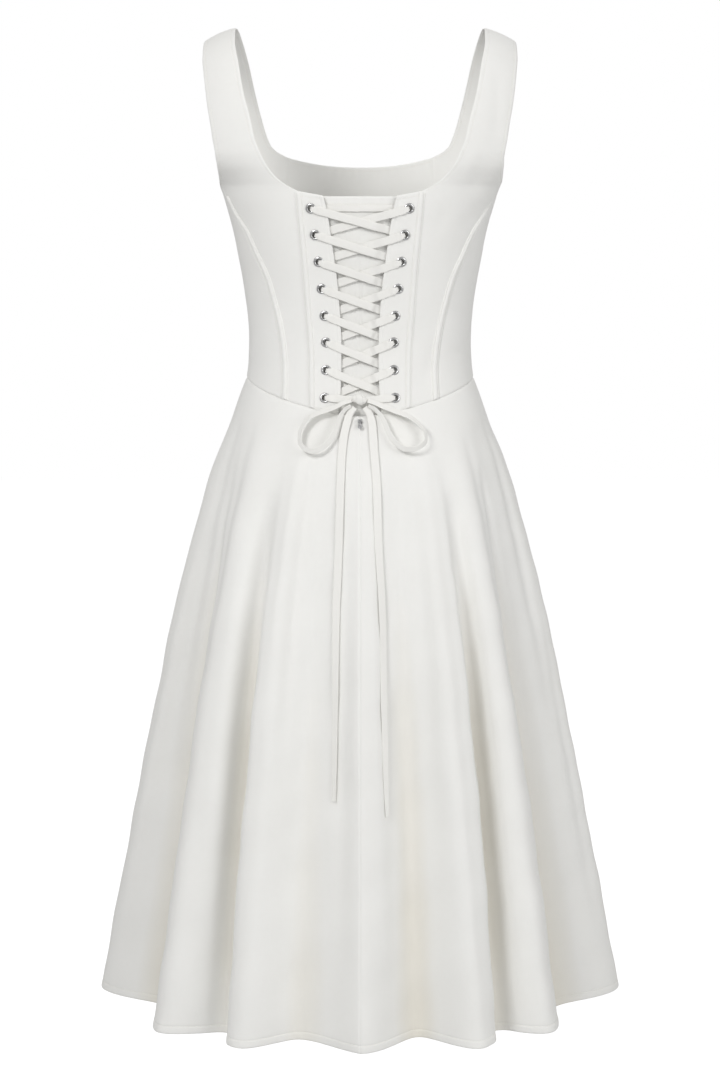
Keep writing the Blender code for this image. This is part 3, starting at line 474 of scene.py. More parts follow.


# %% [markdown]
# ## Colour and weave of the cloth
#
# The dress is a matt ivory cotton, woven plainly and close. Its threads are finer than a pixel from where
# the camera stands, so they are only a bump, and what the eye sees from there is the slow change of tone in
# yarn and dye. Both are node groups, since the dress and its lace share them with different values. Light
# that bounces between the walls of a fold comes out warmer, so each point of the skirt also carries how
# deep in a fold it lies, and there the colour is multiplied by a warmer, darker painted shade.


# %% Node helpers
def new_group(name, inputs, outputs):
    """A shader node group with named float or vector inputs and float outputs."""
    group = bpy.data.node_groups.new(name, "ShaderNodeTree")
    for label, kind, value in inputs:
        socket = group.interface.new_socket(name=label, in_out="INPUT", socket_type=f"NodeSocket{kind}")
        if value is not None:
            socket.default_value = value
    for label in outputs:
        group.interface.new_socket(name=label, in_out="OUTPUT", socket_type="NodeSocketFloat")
    return group, group.nodes.new("NodeGroupInput"), group.nodes.new("NodeGroupOutput")


def math_node(tree, operation, *values):
    """A Math node whose inputs are sockets or numbers."""
    node = tree.nodes.new("ShaderNodeMath")
    node.operation = operation
    for socket, value in zip(node.inputs, values):
        if isinstance(value, (int, float)):
            socket.default_value = value
        else:
            tree.links.new(value, socket)
    return node.outputs[0]


def noise_node(tree, vector, scale, detail=3.0, roughness=0.55):
    node = tree.nodes.new("ShaderNodeTexNoise")
    node.inputs["Scale"].default_value = scale
    node.inputs["Detail"].default_value = detail
    node.inputs["Roughness"].default_value = roughness
    tree.links.new(vector, node.inputs["Vector"])
    return node.outputs["Fac"]


# %% The weave: threads that pass over and under each other
def weave_group():
    """Height is the higher of two sets of threads: each is a rounded ridge that rises and sinks along
    itself, as sin(pi x / pitch) times a wave along y, and the other set the same with x and y exchanged.
    Slubs thicken the threads here and there."""
    group, given, result = new_group(
        "Plain weave", [("Place", "Vector", None), ("Pitch", "Float", 0.0007)], ["Height", "Slub"])
    split = group.nodes.new("ShaderNodeSeparateXYZ")
    group.links.new(given.outputs["Place"], split.inputs[0])
    waves = []
    for axis in ("X", "Y"):
        turns = math_node(group, "DIVIDE", split.outputs[axis], given.outputs["Pitch"])
        waves.append(math_node(group, "SINE", math_node(group, "MULTIPLY", turns, math.pi)))
    crossing = math_node(group, "MULTIPLY", waves[0], waves[1])
    stretched = []
    for scale in ((90.0, 900.0, 1.0), (900.0, 90.0, 1.0)):
        mapping = group.nodes.new("ShaderNodeMapping")
        mapping.inputs["Scale"].default_value = scale
        group.links.new(given.outputs["Place"], mapping.inputs["Vector"])
        stretched.append(noise_node(group, mapping.outputs[0], 1.0, 2.0))
    slub = math_node(group, "MULTIPLY", math_node(group, "ADD", stretched[0], stretched[1]), 0.5)
    group.links.new(math_node(group, "ADD", math_node(group, "MULTIPLY", crossing, 0.5), slub),
                    result.inputs["Height"])
    group.links.new(slub, result.inputs["Slub"])
    return group


# %% The tone: slow changes of shade in yarn and dye
def tone_group():
    """Tone is a mask about 0.5 that changes over centimetres, from two sizes of noise."""
    group, given, result = new_group(
        "Cloth tone", [("Place", "Vector", None), ("Size", "Float", 9.0)], ["Tone"])
    broad = group.nodes.new("ShaderNodeTexNoise")
    broad.inputs["Detail"].default_value = 2.0
    group.links.new(given.outputs["Place"], broad.inputs["Vector"])
    group.links.new(given.outputs["Size"], broad.inputs["Scale"])
    fine = noise_node(group, given.outputs["Place"], 160.0, 2.0)
    group.links.new(math_node(group, "ADD", math_node(group, "MULTIPLY", broad.outputs["Fac"], 0.7),
                              math_node(group, "MULTIPLY", fine, 0.3)), result.inputs["Tone"])
    return group


WEAVE, TONE = weave_group(), tone_group()


# %% Cloth materials
# Painted shade: the warmer, darker colour that the cloth's colour is multiplied by in the hollows of folds
PAINTED_FOLD_SHADE = (0.89, 0.862, 0.80, 1)


def blend_colours(tree, mask, low, high):
    """A colour ramp from low to high over the middle of a mask's range."""
    ramp = tree.nodes.new("ShaderNodeValToRGB")
    ramp.color_ramp.elements[0].position, ramp.color_ramp.elements[1].position = 0.3, 0.7
    ramp.color_ramp.elements[0].color, ramp.color_ramp.elements[1].color = (*low, 1), (*high, 1)
    tree.links.new(mask, ramp.inputs["Fac"])
    return ramp.outputs["Color"]


def cloth(name, low, high, pitch, bump, roughness, sheen):
    """Woven cloth: its colour drifts between two shades, and its weave comes from the piece's own UV map.
    In the hollows of folds it is multiplied by a warmer, darker colour, which is painted shade."""
    made = bpy.data.materials.new(name)
    made.use_nodes = True
    tree = made.node_tree
    shader = tree.nodes["Principled BSDF"]
    uv = tree.nodes.new("ShaderNodeUVMap")
    uv.uv_map = "Cloth"
    place = tree.nodes.new("ShaderNodeTexCoord")
    weave = tree.nodes.new("ShaderNodeGroup")
    weave.node_tree = WEAVE
    weave.inputs["Pitch"].default_value = pitch
    tree.links.new(uv.outputs["UV"], weave.inputs["Place"])
    tone = tree.nodes.new("ShaderNodeGroup")
    tone.node_tree = TONE
    tree.links.new(place.outputs["Object"], tone.inputs["Place"])
    mask = math_node(tree, "ADD", math_node(tree, "MULTIPLY", tone.outputs["Tone"], 0.75),
                     math_node(tree, "MULTIPLY", weave.outputs["Slub"], 0.25))
    # Painted shade: how deep each point lies in a fold darkens and warms the colour there
    painted_shade_mask = tree.nodes.new("ShaderNodeAttribute")
    painted_shade_mask.attribute_name = "PaintedFoldShade"
    painted_shade_mix = tree.nodes.new("ShaderNodeMix")
    painted_shade_mix.data_type, painted_shade_mix.blend_type = "RGBA", "MULTIPLY"
    tree.links.new(painted_shade_mask.outputs["Fac"], painted_shade_mix.inputs[0])
    tree.links.new(blend_colours(tree, mask, low, high), painted_shade_mix.inputs[6])
    painted_shade_mix.inputs[7].default_value = PAINTED_FOLD_SHADE
    tree.links.new(painted_shade_mix.outputs[2], shader.inputs["Base Color"])
    relief = tree.nodes.new("ShaderNodeBump")
    relief.inputs["Strength"].default_value = bump
    relief.inputs["Distance"].default_value = 0.00012
    tree.links.new(weave.outputs["Height"], relief.inputs["Height"])
    tree.links.new(relief.outputs["Normal"], shader.inputs["Normal"])
    shader.inputs["Roughness"].default_value = roughness
    shader.inputs["Specular IOR Level"].default_value = 0.25
    shader.inputs["Sheen Weight"].default_value = sheen
    shader.inputs["Sheen Roughness"].default_value = 0.4
    return made


ivory = cloth("Ivory cotton", (0.862, 0.856, 0.828), (0.890, 0.886, 0.862), 0.0007, 0.35, 0.85, 0.12)
lace_cloth = cloth("Ivory lace tape", (0.860, 0.850, 0.815), (0.888, 0.880, 0.850),
                   0.0006, 0.35, 0.78, 0.12)
thread = cloth("Ivory sewing thread", (0.84, 0.82, 0.77), (0.875, 0.857, 0.81), 0.0003, 0.6, 0.6, 0.2)


# %% Metal of the eyelets and the zip
def metal(name, low, high, roughness):
    """Polished silver-coloured metal with soft wear: noise drifts its roughness and breaks its gloss."""
    made = bpy.data.materials.new(name)
    made.use_nodes = True
    tree = made.node_tree
    shader = tree.nodes["Principled BSDF"]
    place = tree.nodes.new("ShaderNodeTexCoord")
    wear = noise_node(tree, place.outputs["Object"], 900.0, 4.0)
    tree.links.new(blend_colours(tree, wear, low, high), shader.inputs["Base Color"])
    rough = math_node(tree, "MULTIPLY_ADD", wear, 0.22, roughness)
    tree.links.new(rough, shader.inputs["Roughness"])
    relief = tree.nodes.new("ShaderNodeBump")
    relief.inputs["Strength"].default_value = 0.15
    relief.inputs["Distance"].default_value = 0.00005
    tree.links.new(wear, relief.inputs["Height"])
    tree.links.new(relief.outputs["Normal"], shader.inputs["Normal"])
    shader.inputs["Metallic"].default_value = 1.0
    return made


silver = metal("Silver-coloured metal", (0.50, 0.50, 0.50), (0.66, 0.66, 0.66), 0.18)
print("materials", [m.name for m in (ivory, lace_cloth, thread, silver)])

# %% [markdown]
# ## The bodice's panels
#
# Cutters turn a free edge under and stitch it down, so it ends in a soft rounded fold with a shallow groove
# about 5 mm in, and the cloth puckers a little between the stitches. A seam is two such turns that meet in
# a narrow valley. Creases are few, because the bodice is boned: each is a soft trough or ridge along a
# short line, and no two have the same length or depth.

# %% How an edge is finished
TURN_REACH, TURN_DEPTH = 0.0008, 0.00055
SEAM_REACH, SEAM_DEPTH = 0.0011, 0.00075
STITCH_INSET = 0.0047
STITCH_REACH, STITCH_DEPTH = 0.0007, 0.00022
PUCKER_HEIGHT, PUCKER_REACH, PUCKER_FADE = 0.00010, 0.0055, 0.002
INNER_GROOVE_SHARE, INNER_SEAM_SHARE = 0.8, 0.4


def edge_relief(distance, along, free):
    """How far the outer and the inner face stand off the form near one edge. free is 1 where the edge is
    turned and topstitched and 0 where it is sewn to another panel."""
    turn = TURN_DEPTH * near(distance, TURN_REACH)
    seam = SEAM_DEPTH * near(distance, SEAM_REACH)
    groove = STITCH_DEPTH * near(distance - STITCH_INSET, STITCH_REACH)
    wander = np.sin(along * 610) + 0.7 * np.sin(along * 487 + 1.3) + 0.5 * np.sin(along * 911 + 0.4)
    pucker = PUCKER_HEIGHT * wander * near(distance - STITCH_INSET, PUCKER_REACH)
    pucker *= np.clip(distance / PUCKER_FADE, 0, 1)
    outer = free * (pucker - turn - groove) - (1 - free) * seam
    inner = free * (turn + groove * INNER_GROOVE_SHARE + pucker) - (1 - free) * seam * INNER_SEAM_SHARE
    return outer, inner


# Creases: two ends as distance from the middle and level, half width of the trough, and depth, which is
# negative for a ridge
def crease_relief(rows, x, level):
    """Each crease is a soft trough along the line between its ends: its depth fades with the square of the
    distance from the line, and along the line it swells and fades as a half sine."""
    total = np.zeros(x.shape)
    for x_1, level_1, x_2, level_2, reach, depth in rows:
        run = np.array((x_2 - x_1, level_2 - level_1))
        length = np.linalg.norm(run)
        along = ((x - x_1) * run[0] + (level - level_1) * run[1]) / length ** 2
        aside = ((x - x_1) * run[1] - (level - level_1) * run[0]) / length
        swell = np.sin(np.clip(along, 0, 1) * math.pi) ** 0.8
        total -= depth * swell * near(aside, reach)
    return total


def drift(points):
    """Very soft unevenness of worn cloth: three low waves of unlike lengths that cross."""
    x, y, z = np.moveaxis(points, -1, 0)
    return (0.00022 * np.sin(x * 71 + 2.1 * np.sin(z * 23))
            + 0.00018 * np.sin(z * 57 + x * 19 + y * 31 + 1.0)
            + 0.00012 * np.sin(z * 113 - x * 67 + 2.0))


# %% A panel of the bodice
panels = {}
grids = {}
FREE_ROWS = {}


def bodice_panel(name, u, level, face, side, free, creases=(), height=0.0, thickness=CLOTH_WALL):
    """A shell over a grid of angles and levels. free gives, for the inner edge, the outer edge, the top and
    the bottom, 1 where it is free and 0 where it is sewn, as numbers or one for each row."""
    plain = form(u, level, face)
    gaps = distances(plain)
    outer = np.zeros(u.shape)
    inner = np.zeros(u.shape)
    for k, (distance, state) in enumerate(zip(gaps, free)):
        if state is None:
            continue
        along = gaps[2] if k < 2 else gaps[0]
        state = np.asarray(state, float)
        state = state[:, None] if state.ndim else state
        raise_outer, raise_inner = edge_relief(distance, along, state)
        outer += raise_outer
        inner += raise_inner
    flip = np.array((side, 1, 1))
    body = crease_relief(creases, plain[..., 0] * np.sign(side), level) + drift(plain * flip)
    outer += body + height
    inner += body + height - thickness
    grids[name] = raised(u, level, face, outer) * flip, raised(u, level, face, inner) * flip
    made = panels[name] = shell(name, *grids[name], ivory)
    FREE_ROWS[name] = free[:2]
    return made


# %% The shoulders, the back and the sides
ARCH = tuple(BLADE_LEVEL * share for share in (0.0, 0.16, 0.34, 0.54, 0.76))
UNDERARM = -0.1752

BACK_CREASES = (
    (0.160, -0.146, 0.130, -0.194, 0.0135, -0.0038),
    (0.132, -0.196, 0.104, -0.226, 0.0080, 0.0008),
    (0.140, -0.255, 0.100, -0.300, 0.0070, 0.0007),
    (0.082, -0.340, 0.070, -0.395, 0.0060, 0.0006),
    (0.150, -0.070, 0.146, -0.135, 0.0075, 0.0009),
    (0.128, -0.128, 0.112, -0.175, 0.0065, -0.0006),
    (0.098, -0.190, 0.078, -0.235, 0.0080, 0.0005),
)
SIDE_CREASES = (
    (0.100, -0.300, 0.125, -0.330, 0.0055, 0.0008),
    (0.097, -0.352, 0.123, -0.362, 0.0045, 0.0009),
    (0.095, -0.372, 0.118, -0.392, 0.0050, 0.0007),
    (0.148, -0.205, 0.128, -0.245, 0.0070, 0.0008),
)


def back_panel(side):
    inner = edge(((BACK_NECK, (*ARCH, -0.125, -0.139, -0.151, -0.161, -0.169, -0.1755, -0.1790)),
                  (BAND_SEAM, (-0.1808, *SHARED_LEVELS))), BACK, True)
    outer = edge(((ARMHOLE, (*ARCH, -0.123, -0.135, -0.145, -0.153, -0.160, -0.1655)),
                  (BACK_SEAM, (-0.1693, -0.1850, *SHARED_LEVELS))), BACK, True)
    u, level = panel_grid(inner, outer, BACK)
    free = (inner[2] == 0, outer[2] == 0, 0, 0)
    return bodice_panel(f"back_panel_cloth_{NAMES[side]}", u, level, BACK, side, free, BACK_CREASES)


def side_panel(side):
    inner = edge(((BACK_SEAM, (-0.1693, -0.1850, *SHARED_LEVELS)),), BACK, True)
    levels = edge(((BACK_SEAM, (UNDERARM, -0.1880, *SHARED_LEVELS)),), BACK, True)
    last = SHARED_LEVELS[-1] + (waist_level(math.pi / 2) - SHARED_LEVELS[-1]) * levels[3]
    rows = np.where(levels[3] > 0, last, levels[1])
    outer = (np.full(rows.shape, math.pi / 2), rows, levels[2], levels[3])
    u, level = panel_grid(inner, outer, BACK)
    top = armhole_level(u[0], BACK)
    fade = np.clip((level[:, :1] - SHARED_LEVELS[0]) / (level[0, :1] - SHARED_LEVELS[0]), 0, 1)
    level = level + (top - level[0]) * fade
    return bodice_panel(f"side_back_cloth_{NAMES[side]}", u, level, BACK, side, (0, 0, 1, 0), SIDE_CREASES)


def armhole_level(u, face):
    """The level at which the armhole's low edge crosses each angle, found by halving."""
    low, high = np.full(u.shape, UNDERARM - 0.0003), np.full(u.shape, -0.150)
    for _ in range(40):
        middle = (low + high) / 2
        inside = ring(u, middle, face)[0] < ARMHOLE.at("x", middle)
        low, high = np.where(inside, middle, low), np.where(inside, high, middle)
    return low


for side in (-1, 1):
    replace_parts(back_panel(side), f"back_panel_{NAMES[side]}")
    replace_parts(side_panel(side), f"side_back_{NAMES[side]}")
print("back panel", [round(size, 3) for size in panels["back_panel_cloth_left"].dimensions])

# %% The front, cut in one with its straps, and its centre panel
FRONT_CREASES = (
    (0.125, -0.235, 0.095, -0.262, 0.0075, 0.0010),
    (0.150, -0.190, 0.118, -0.205, 0.0065, 0.0008),
    (0.108, -0.300, 0.075, -0.325, 0.0070, 0.0008),
    (0.112, -0.345, 0.080, -0.362, 0.0055, 0.0009),
    (0.158, -0.085, 0.152, -0.135, 0.0070, 0.0006),
    (0.085, -0.375, 0.068, -0.405, 0.0060, 0.0006),
)
CENTRE_CREASES = (
    (-0.050, -0.345, -0.004, -0.355, 0.0060, 0.0007),
    (0.012, -0.362, 0.052, -0.352, 0.0050, 0.0009),
    (0.030, -0.300, 0.055, -0.285, 0.0075, 0.0006),
    (-0.056, -0.240, -0.030, -0.258, 0.0070, 0.0008),
)


def front_side(side):
    inner = edge(((FRONT_NECK, (*ARCH, -0.119, -0.127, -0.1330)),
                  (FRONT_SEAM, (*CUP_LEVELS, *SHARED_LEVELS))), FRONT, True)
    arm = (*ARCH, -0.123, -0.140, -0.152, -0.160, -0.1660, -0.1706)
    outer = edge(((ARMHOLE, arm), (ARMHOLE, (UNDERARM, -0.1880, *SHARED_LEVELS))), FRONT, True)
    u = np.where(outer[2] == 0, outer[0], math.pi / 2)
    joint = np.flatnonzero(outer[2] == 1)[0]
    u[joint - ROWS_PER_GAP:joint + 1] = np.linspace(u[joint - ROWS_PER_GAP], math.pi / 2, ROWS_PER_GAP + 1)
    last = SHARED_LEVELS[-1] + (waist_level(math.pi / 2) - SHARED_LEVELS[-1]) * outer[3]
    level = np.where(outer[3] > 0, last, outer[1])
    grid_u, grid_level = panel_grid(inner, (u, level, outer[2], outer[3]), FRONT)
    free = (inner[2] == 0, outer[2] == 0, 0, 0)
    name = f"front_side_cloth_{NAMES[side]}"
    return bodice_panel(name, grid_u, grid_level, FRONT, side, free, FRONT_CREASES)


def front_centre():
    seam = edge(((FRONT_SEAM, (*CUP_LEVELS, *SHARED_LEVELS)),), FRONT, True)
    width = 2 * form(seam[0], seam[1], FRONT)[:, 0]
    share = columns(width) * 2 - 1
    rows = np.interp(seam[1], (SHARED_LEVELS[0], CUP_LEVELS[0]), (0, 1))
    dip = FRONT_NECK_DIP * (1 - np.abs(share) ** 2.4)
    u = seam[0][:, None] * share
    level = ease_to_waist(u, seam[1][:, None] - dip * rows[:, None], seam[3])
    return bodice_panel("front_centre_cloth", u, level, FRONT, 1, (0, 0, 1, 0), CENTRE_CREASES)


for side in (-1, 1):
    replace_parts(front_side(side), f"front_side_{NAMES[side]}")
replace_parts(front_centre(), "front_centre")

# %% [markdown]
# ## Bands, bone channels and the modesty panel
#
# Beside the gap stand two bands with a flat bone in each edge, and over the seams lie narrow channels that
# hold more bones. The bones push the cloth out into a low rounded ridge between two lines of stitches,
# which here is the profile of each strip. The modesty panel hangs behind the lacing, hemmed at the top,
# with one soft pressed fold down its middle.

# %% Lacing bands
BAND_CREASES = (
    (0.030, -0.215, 0.050, -0.213, 0.0040, 0.0004),
    (0.026, -0.300, 0.046, -0.302, 0.0045, 0.0005),
    (0.024, -0.359, 0.044, -0.357, 0.0040, 0.0004),
)


BAND_HOLE, HOLE_SIDES, PLUG_REACH = 0.0041, 20, 0.006


def cut_holes(made, side):
    """Round holes for the eyelets, cut by a Boolean with one joined mesh of plugs."""
    k = np.arange(HOLE_SIDES)
    after = (k + 1) % HOLE_SIDES
    ring_angles = k * 2 * math.pi / HOLE_SIDES
    points, faces = [], []
    for x, level in EYELETS:
        centre, outward, right, up = eyelet_frame(side, x, level)
        circle = (right * np.cos(ring_angles)[:, None] + up * np.sin(ring_angles)[:, None]) * BAND_HOLE
        first = sum(len(p) for p in points)
        points += [centre + circle + outward * PLUG_REACH, centre + circle - outward * PLUG_REACH]
        front, behind = k + first, k + first + HOLE_SIDES
        faces += np.stack([front, after + first, after + first + HOLE_SIDES, behind], axis=-1).tolist()
        faces += [front.tolist(), behind[::-1].tolist()]
    mesh = bpy.data.meshes.new("plugs")
    mesh.from_pydata(np.concatenate(points).tolist(), [], faces)
    if np.dot(np.cross(circle[0], circle[1]), outward) > 0:
        mesh.flip_normals()
    plugs = bpy.data.objects.new("plugs", mesh)
    bpy.context.scene.collection.objects.link(plugs)
    cut = made.modifiers.new("Holes", "BOOLEAN")
    cut.operation, cut.object = "DIFFERENCE", plugs
    bpy.context.view_layer.objects.active = made
    with bpy.context.temp_override(object=made, active_object=made):
        bpy.ops.object.modifier_apply(modifier=cut.name)
    bpy.data.objects.remove(plugs, do_unlink=True)


def eyelet_frame(side, x, level):
    """The middle of an eyelet on the band's face, with the directions out of it, to its right and up it."""
    centre = raised(angle_at(x, level, BACK), level, BACK, 0.0) * (side, 1, 1)
    outward = raised(angle_at(x, level, BACK), level, BACK, 0.001) * (side, 1, 1) - centre
    outward /= np.linalg.norm(outward)
    right = np.cross((0, 0, 1), outward)
    right /= np.linalg.norm(right)
    return centre, outward, right, np.cross(outward, right)


def lacing_band(side):
    outer = edge(((BAND_SEAM, (-0.1808, *SHARED_LEVELS)),), BACK, True)
    inner = edge(((OPENING, (-0.1858, *SHARED_LEVELS)),), BACK, True)
    u, level = panel_grid(inner, outer, BACK)
    name = f"lacing_band_cloth_{NAMES[side]}"
    made = bodice_panel(name, u, level, BACK, side, (1, 0, 1, 0), BAND_CREASES)
    cut_holes(made, side)
    return made


for side in (-1, 1):
    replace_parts(lacing_band(side), f"lacing_band_{NAMES[side]}")

# %% Bone channels
CHANNEL_LIFT, CHANNEL_SINK = 0.0001, 0.0006
CHANNEL_ACROSS = np.array((-0.5, -0.485, -0.45, -0.40, -0.36, -0.32, -0.27, -0.18, -0.09, 0.0,
                           0.09, 0.18, 0.27, 0.32, 0.36, 0.40, 0.45, 0.485, 0.5))
CHANNEL_RISE = np.array((0.1, 0.55, 0.8, 0.75, 0.45, 0.75, 1.1, 1.45, 1.6, 1.65,
                         1.6, 1.45, 1.1, 0.75, 0.45, 0.75, 0.8, 0.55, 0.1)) * 1e-3


def channel(name, table, first, offset, width, side):
    """A narrow strip beside a seam, with two stitched valleys and the bone's ridge between them."""
    u, level, _, share = edge(((table, (first, *SHARED_LEVELS)),), BACK, True)
    pace = np.linalg.norm(form(u + 1e-3, level, BACK) - form(u - 1e-3, level, BACK), axis=-1) / 2e-3
    u = u[:, None] + (CHANNEL_ACROSS * width + offset) / pace[:, None]
    level = ease_to_waist(u, np.repeat(level[:, None], len(CHANNEL_ACROSS), axis=1), share)
    plain = form(u, level, BACK) * (side, 1, 1)
    along = run_lengths(plain, 0)
    ends = np.clip(np.minimum(along, along[-1:] - along) / 0.0012, 0.15, 1)
    wavy = 1 + 0.07 * np.sin(along * 530 + side) + 0.05 * np.sin(along * 331)
    rise = CHANNEL_LIFT + CHANNEL_RISE * ends * wavy + drift(plain)
    under = CHANNEL_LIFT * 0.5 + drift(plain) - CHANNEL_SINK
    grids[name] = raised(u, level, BACK, rise) * (side, 1, 1), raised(u, level, BACK, under) * (side, 1, 1)
    made = panels[name] = shell(name, *grids[name], ivory)
    return made


for side in (-1, 1):
    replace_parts(channel(f"band_channel_cloth_{NAMES[side]}", BAND_SEAM, -0.1818, 0.0, 0.0074, side),
                f"band_channel_{NAMES[side]}")
    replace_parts(channel(f"seam_channel_cloth_{NAMES[side]}", BACK_SEAM, -0.1850, -0.0044, 0.0078, side),
                f"seam_channel_{NAMES[side]}")

# %% Modesty panel
MODESTY_TOP = -0.1866
MODESTY_REACH = 0.012
MODESTY_SINK = Table(
    "share height",
    (-1.0, -0.0021), (-0.94, -0.0026), (-0.76, -0.0050), (-0.4, -0.0054), (0.0, -0.0054),
    (0.4, -0.0054), (0.76, -0.0050), (0.94, -0.0026), (1.0, -0.0021),
)
MODESTY_CREASES = (
    (0.0005, -0.222, -0.0008, -0.398, 0.0012, 0.0012),
    (0.0050, -0.230, 0.0035, -0.330, 0.0030, -0.0005),
    (-0.010, -0.300, -0.006, -0.392, 0.0035, 0.0006),
    (0.012, -0.262, 0.009, -0.352, 0.0030, 0.0005),
    (-0.022, -0.200, -0.017, -0.252, 0.0040, 0.0004),
)


def modesty_panel():
    seam = edge(((BAND_SEAM, (MODESTY_TOP, *SHARED_LEVELS)),), BACK, True)
    half = BAND_SEAM.at("x", seam[1]) + MODESTY_REACH
    share = columns(2 * half) * 2 - 1
    level = np.repeat(seam[1][:, None], share.shape[1], axis=1)
    u = angle_at(half[:, None] * share, level, BACK)
    level = ease_to_waist(u, level, seam[3])
    height = MODESTY_SINK.at("height", share)
    return bodice_panel("modesty_cloth", u, level, BACK, 1, (None, None, 1, 0), MODESTY_CREASES,
                        height, MODESTY_WALL)


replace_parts(modesty_panel(), "modesty_panel")

# %% [markdown]
# ## The skirt
#
# The skirt is cut as part of a circle, so it has no gathers at the waist: its extra width falls into flutes
# that start a hand below the seam and grow to the hem. A cloth simulation would find flutes of its own, in
# other places, so they are drawn here as the photograph has them: one table holds each crest and trough
# round the hem, and another the finer folds that run down between them.

# %% Flare and flutes
# The skirt: share of the way from the side seam's waist width to its hem width, by share of the drop
FLARE = Table(
    "drop spread",
    (0.000, 0.000),
    (0.022, 0.040),
    (0.070, 0.118),
    (0.118, 0.200),
    (0.167, 0.272),
    (0.266, 0.388),
    (0.365, 0.492),
    (0.464, 0.580),
    (0.564, 0.662),
    (0.666, 0.745),
    (0.766, 0.822),
    (0.870, 0.902),
    (1.000, 1.000),
)
HEM_HALF_WIDTH = 0.281
HEM_BACK = 0.243
HEM_FRONT = 0.246

# The flutes of the skirt, a row for each: angle of its crest from the centre back towards +X, how far the
# crest stands out at the hem, then the angle of the trough after it, how far that lies in, and the drop
# at which the flute starts
FLUTES = (
    (0, 0.0180, 14, 0.0260, 0.07),
    (25, 0.0270, 34, 0.0080, 0.05),
    (43, 0.0230, 59, 0.0270, 0.05),
    (82, 0.0190, 97, 0.0200, 0.08),
    (110, 0.0230, 126, 0.0230, 0.10),
    (140, 0.0250, 153, 0.0220, 0.08),
    (166, 0.0190, 178, 0.0200, 0.11),
    (190, 0.0230, 203, 0.0240, 0.08),
    (217, 0.0250, 231, 0.0220, 0.10),
    (248, 0.0220, 263, 0.0190, 0.08),
    (278, 0.0190, 300, 0.0290, 0.06),
    (315, 0.0300, 327, 0.0050, 0.05),
    (335, 0.0260, 346, 0.0200, 0.05),
)

# Finer folds: angle at the top and at the foot in degrees from the centre back, the drops at which the fold
# starts and ends, its half width in degrees, and its depth, negative for a ridge
FINE_FOLDS = (
    (-4.0, -5.0, 0.10, 0.98, 2.2, 0.0035),
    (3.5, 6.0, 0.08, 0.95, 2.0, -0.0020),
    (9.0, 9.5, 0.12, 0.70, 2.6, 0.0022),
    (-19.5, -21.0, 0.05, 0.62, 1.8, 0.0042),
    (-24.0, -27.0, 0.03, 0.55, 2.0, -0.0020),
    (-35.0, -31.5, 0.14, 1.20, 2.6, 0.0220),
    (-29.5, -27.5, 0.12, 1.30, 1.9, -0.0075),
    (-41.0, -38.5, 0.20, 0.85, 2.6, -0.0035),
    (-52.0, -50.0, 0.05, 0.50, 3.0, 0.0035),
    (-58.5, -56.5, 0.12, 1.25, 2.8, 0.0085),
    (-66.0, -70.0, 0.04, 0.70, 3.4, 0.0040),
    (-74.0, -77.0, 0.25, 0.95, 2.6, -0.0030),
    (20.0, 19.0, 0.04, 0.80, 2.4, 0.0030),
    (13.0, 14.0, 0.10, 1.15, 2.4, 0.0040),
    (36.0, 33.5, 0.14, 1.20, 2.5, 0.0220),
    (30.5, 29.0, 0.10, 1.25, 1.8, -0.0070),
    (49.0, 50.0, 0.06, 0.65, 3.0, 0.0045),
    (55.0, 57.0, 0.20, 0.90, 2.6, -0.0030),
    (54.0, 56.0, 0.12, 1.15, 2.6, 0.0140),
    (70.0, 73.0, 0.05, 0.60, 3.2, 0.0040),
    (77.0, 76.0, 0.30, 0.95, 2.4, 0.0030),
    (101.0, 104.0, 0.10, 0.80, 2.8, -0.0030),
    (118.0, 117.0, 0.06, 0.60, 3.0, 0.0040),
    (133.0, 131.0, 0.20, 0.90, 2.6, 0.0030),
    (147.0, 146.0, 0.05, 0.55, 2.8, -0.0025),
    (159.0, 161.0, 0.15, 0.85, 2.6, 0.0040),
    (172.0, 171.0, 0.08, 0.70, 2.4, -0.0025),
    (184.0, 186.0, 0.10, 0.90, 2.8, 0.0035),
    (197.0, 196.0, 0.22, 0.75, 2.6, 0.0030),
    (210.0, 212.0, 0.05, 0.60, 3.0, -0.0030),
    (224.0, 222.0, 0.12, 0.95, 2.8, 0.0040),
    (239.0, 241.0, 0.06, 0.65, 3.0, 0.0035),
    (255.0, 254.0, 0.25, 0.90, 2.6, -0.0030),
)


def flute(theta, drop):
    """How far the flutes stand out: a smooth curve through the crests and troughs round the skirt, growing
    from each flute's own start down to the hem."""
    crests = [(crest, out, start) for crest, out, _, _, start in FLUTES]
    troughs = [(trough, -into, start) for _, _, trough, into, start in FLUTES]
    rows = sorted(crests + troughs)
    rows = [(rows[-1][0] - 360, *rows[-1][1:]), *rows, (rows[0][0] + 360, *rows[0][1:])]
    table = Table("angle out start", *rows)
    angle = np.degrees(theta) % 360
    start = table.at("start", angle)
    return table.at("out", angle) * np.clip((drop - start) / (1 - start), 0, 1) ** FLUTE_GROWTH


def fine_folds(theta, drop):
    """The finer folds. Each follows a line from its top angle to its foot angle, has a bell-shaped section,
    and swells and fades along its length as a half sine."""
    angle = np.degrees(theta)
    total = np.zeros(np.broadcast(theta, drop).shape)
    for top, foot, start, end, reach, depth in FINE_FOLDS:
        along = np.clip((drop - start) / (end - start), 0, 1)
        aside = (angle - (top + (foot - top) * along) + 180) % 360 - 180
        total -= depth * near(aside, reach) * np.sin(along * math.pi) ** 0.9
    return total


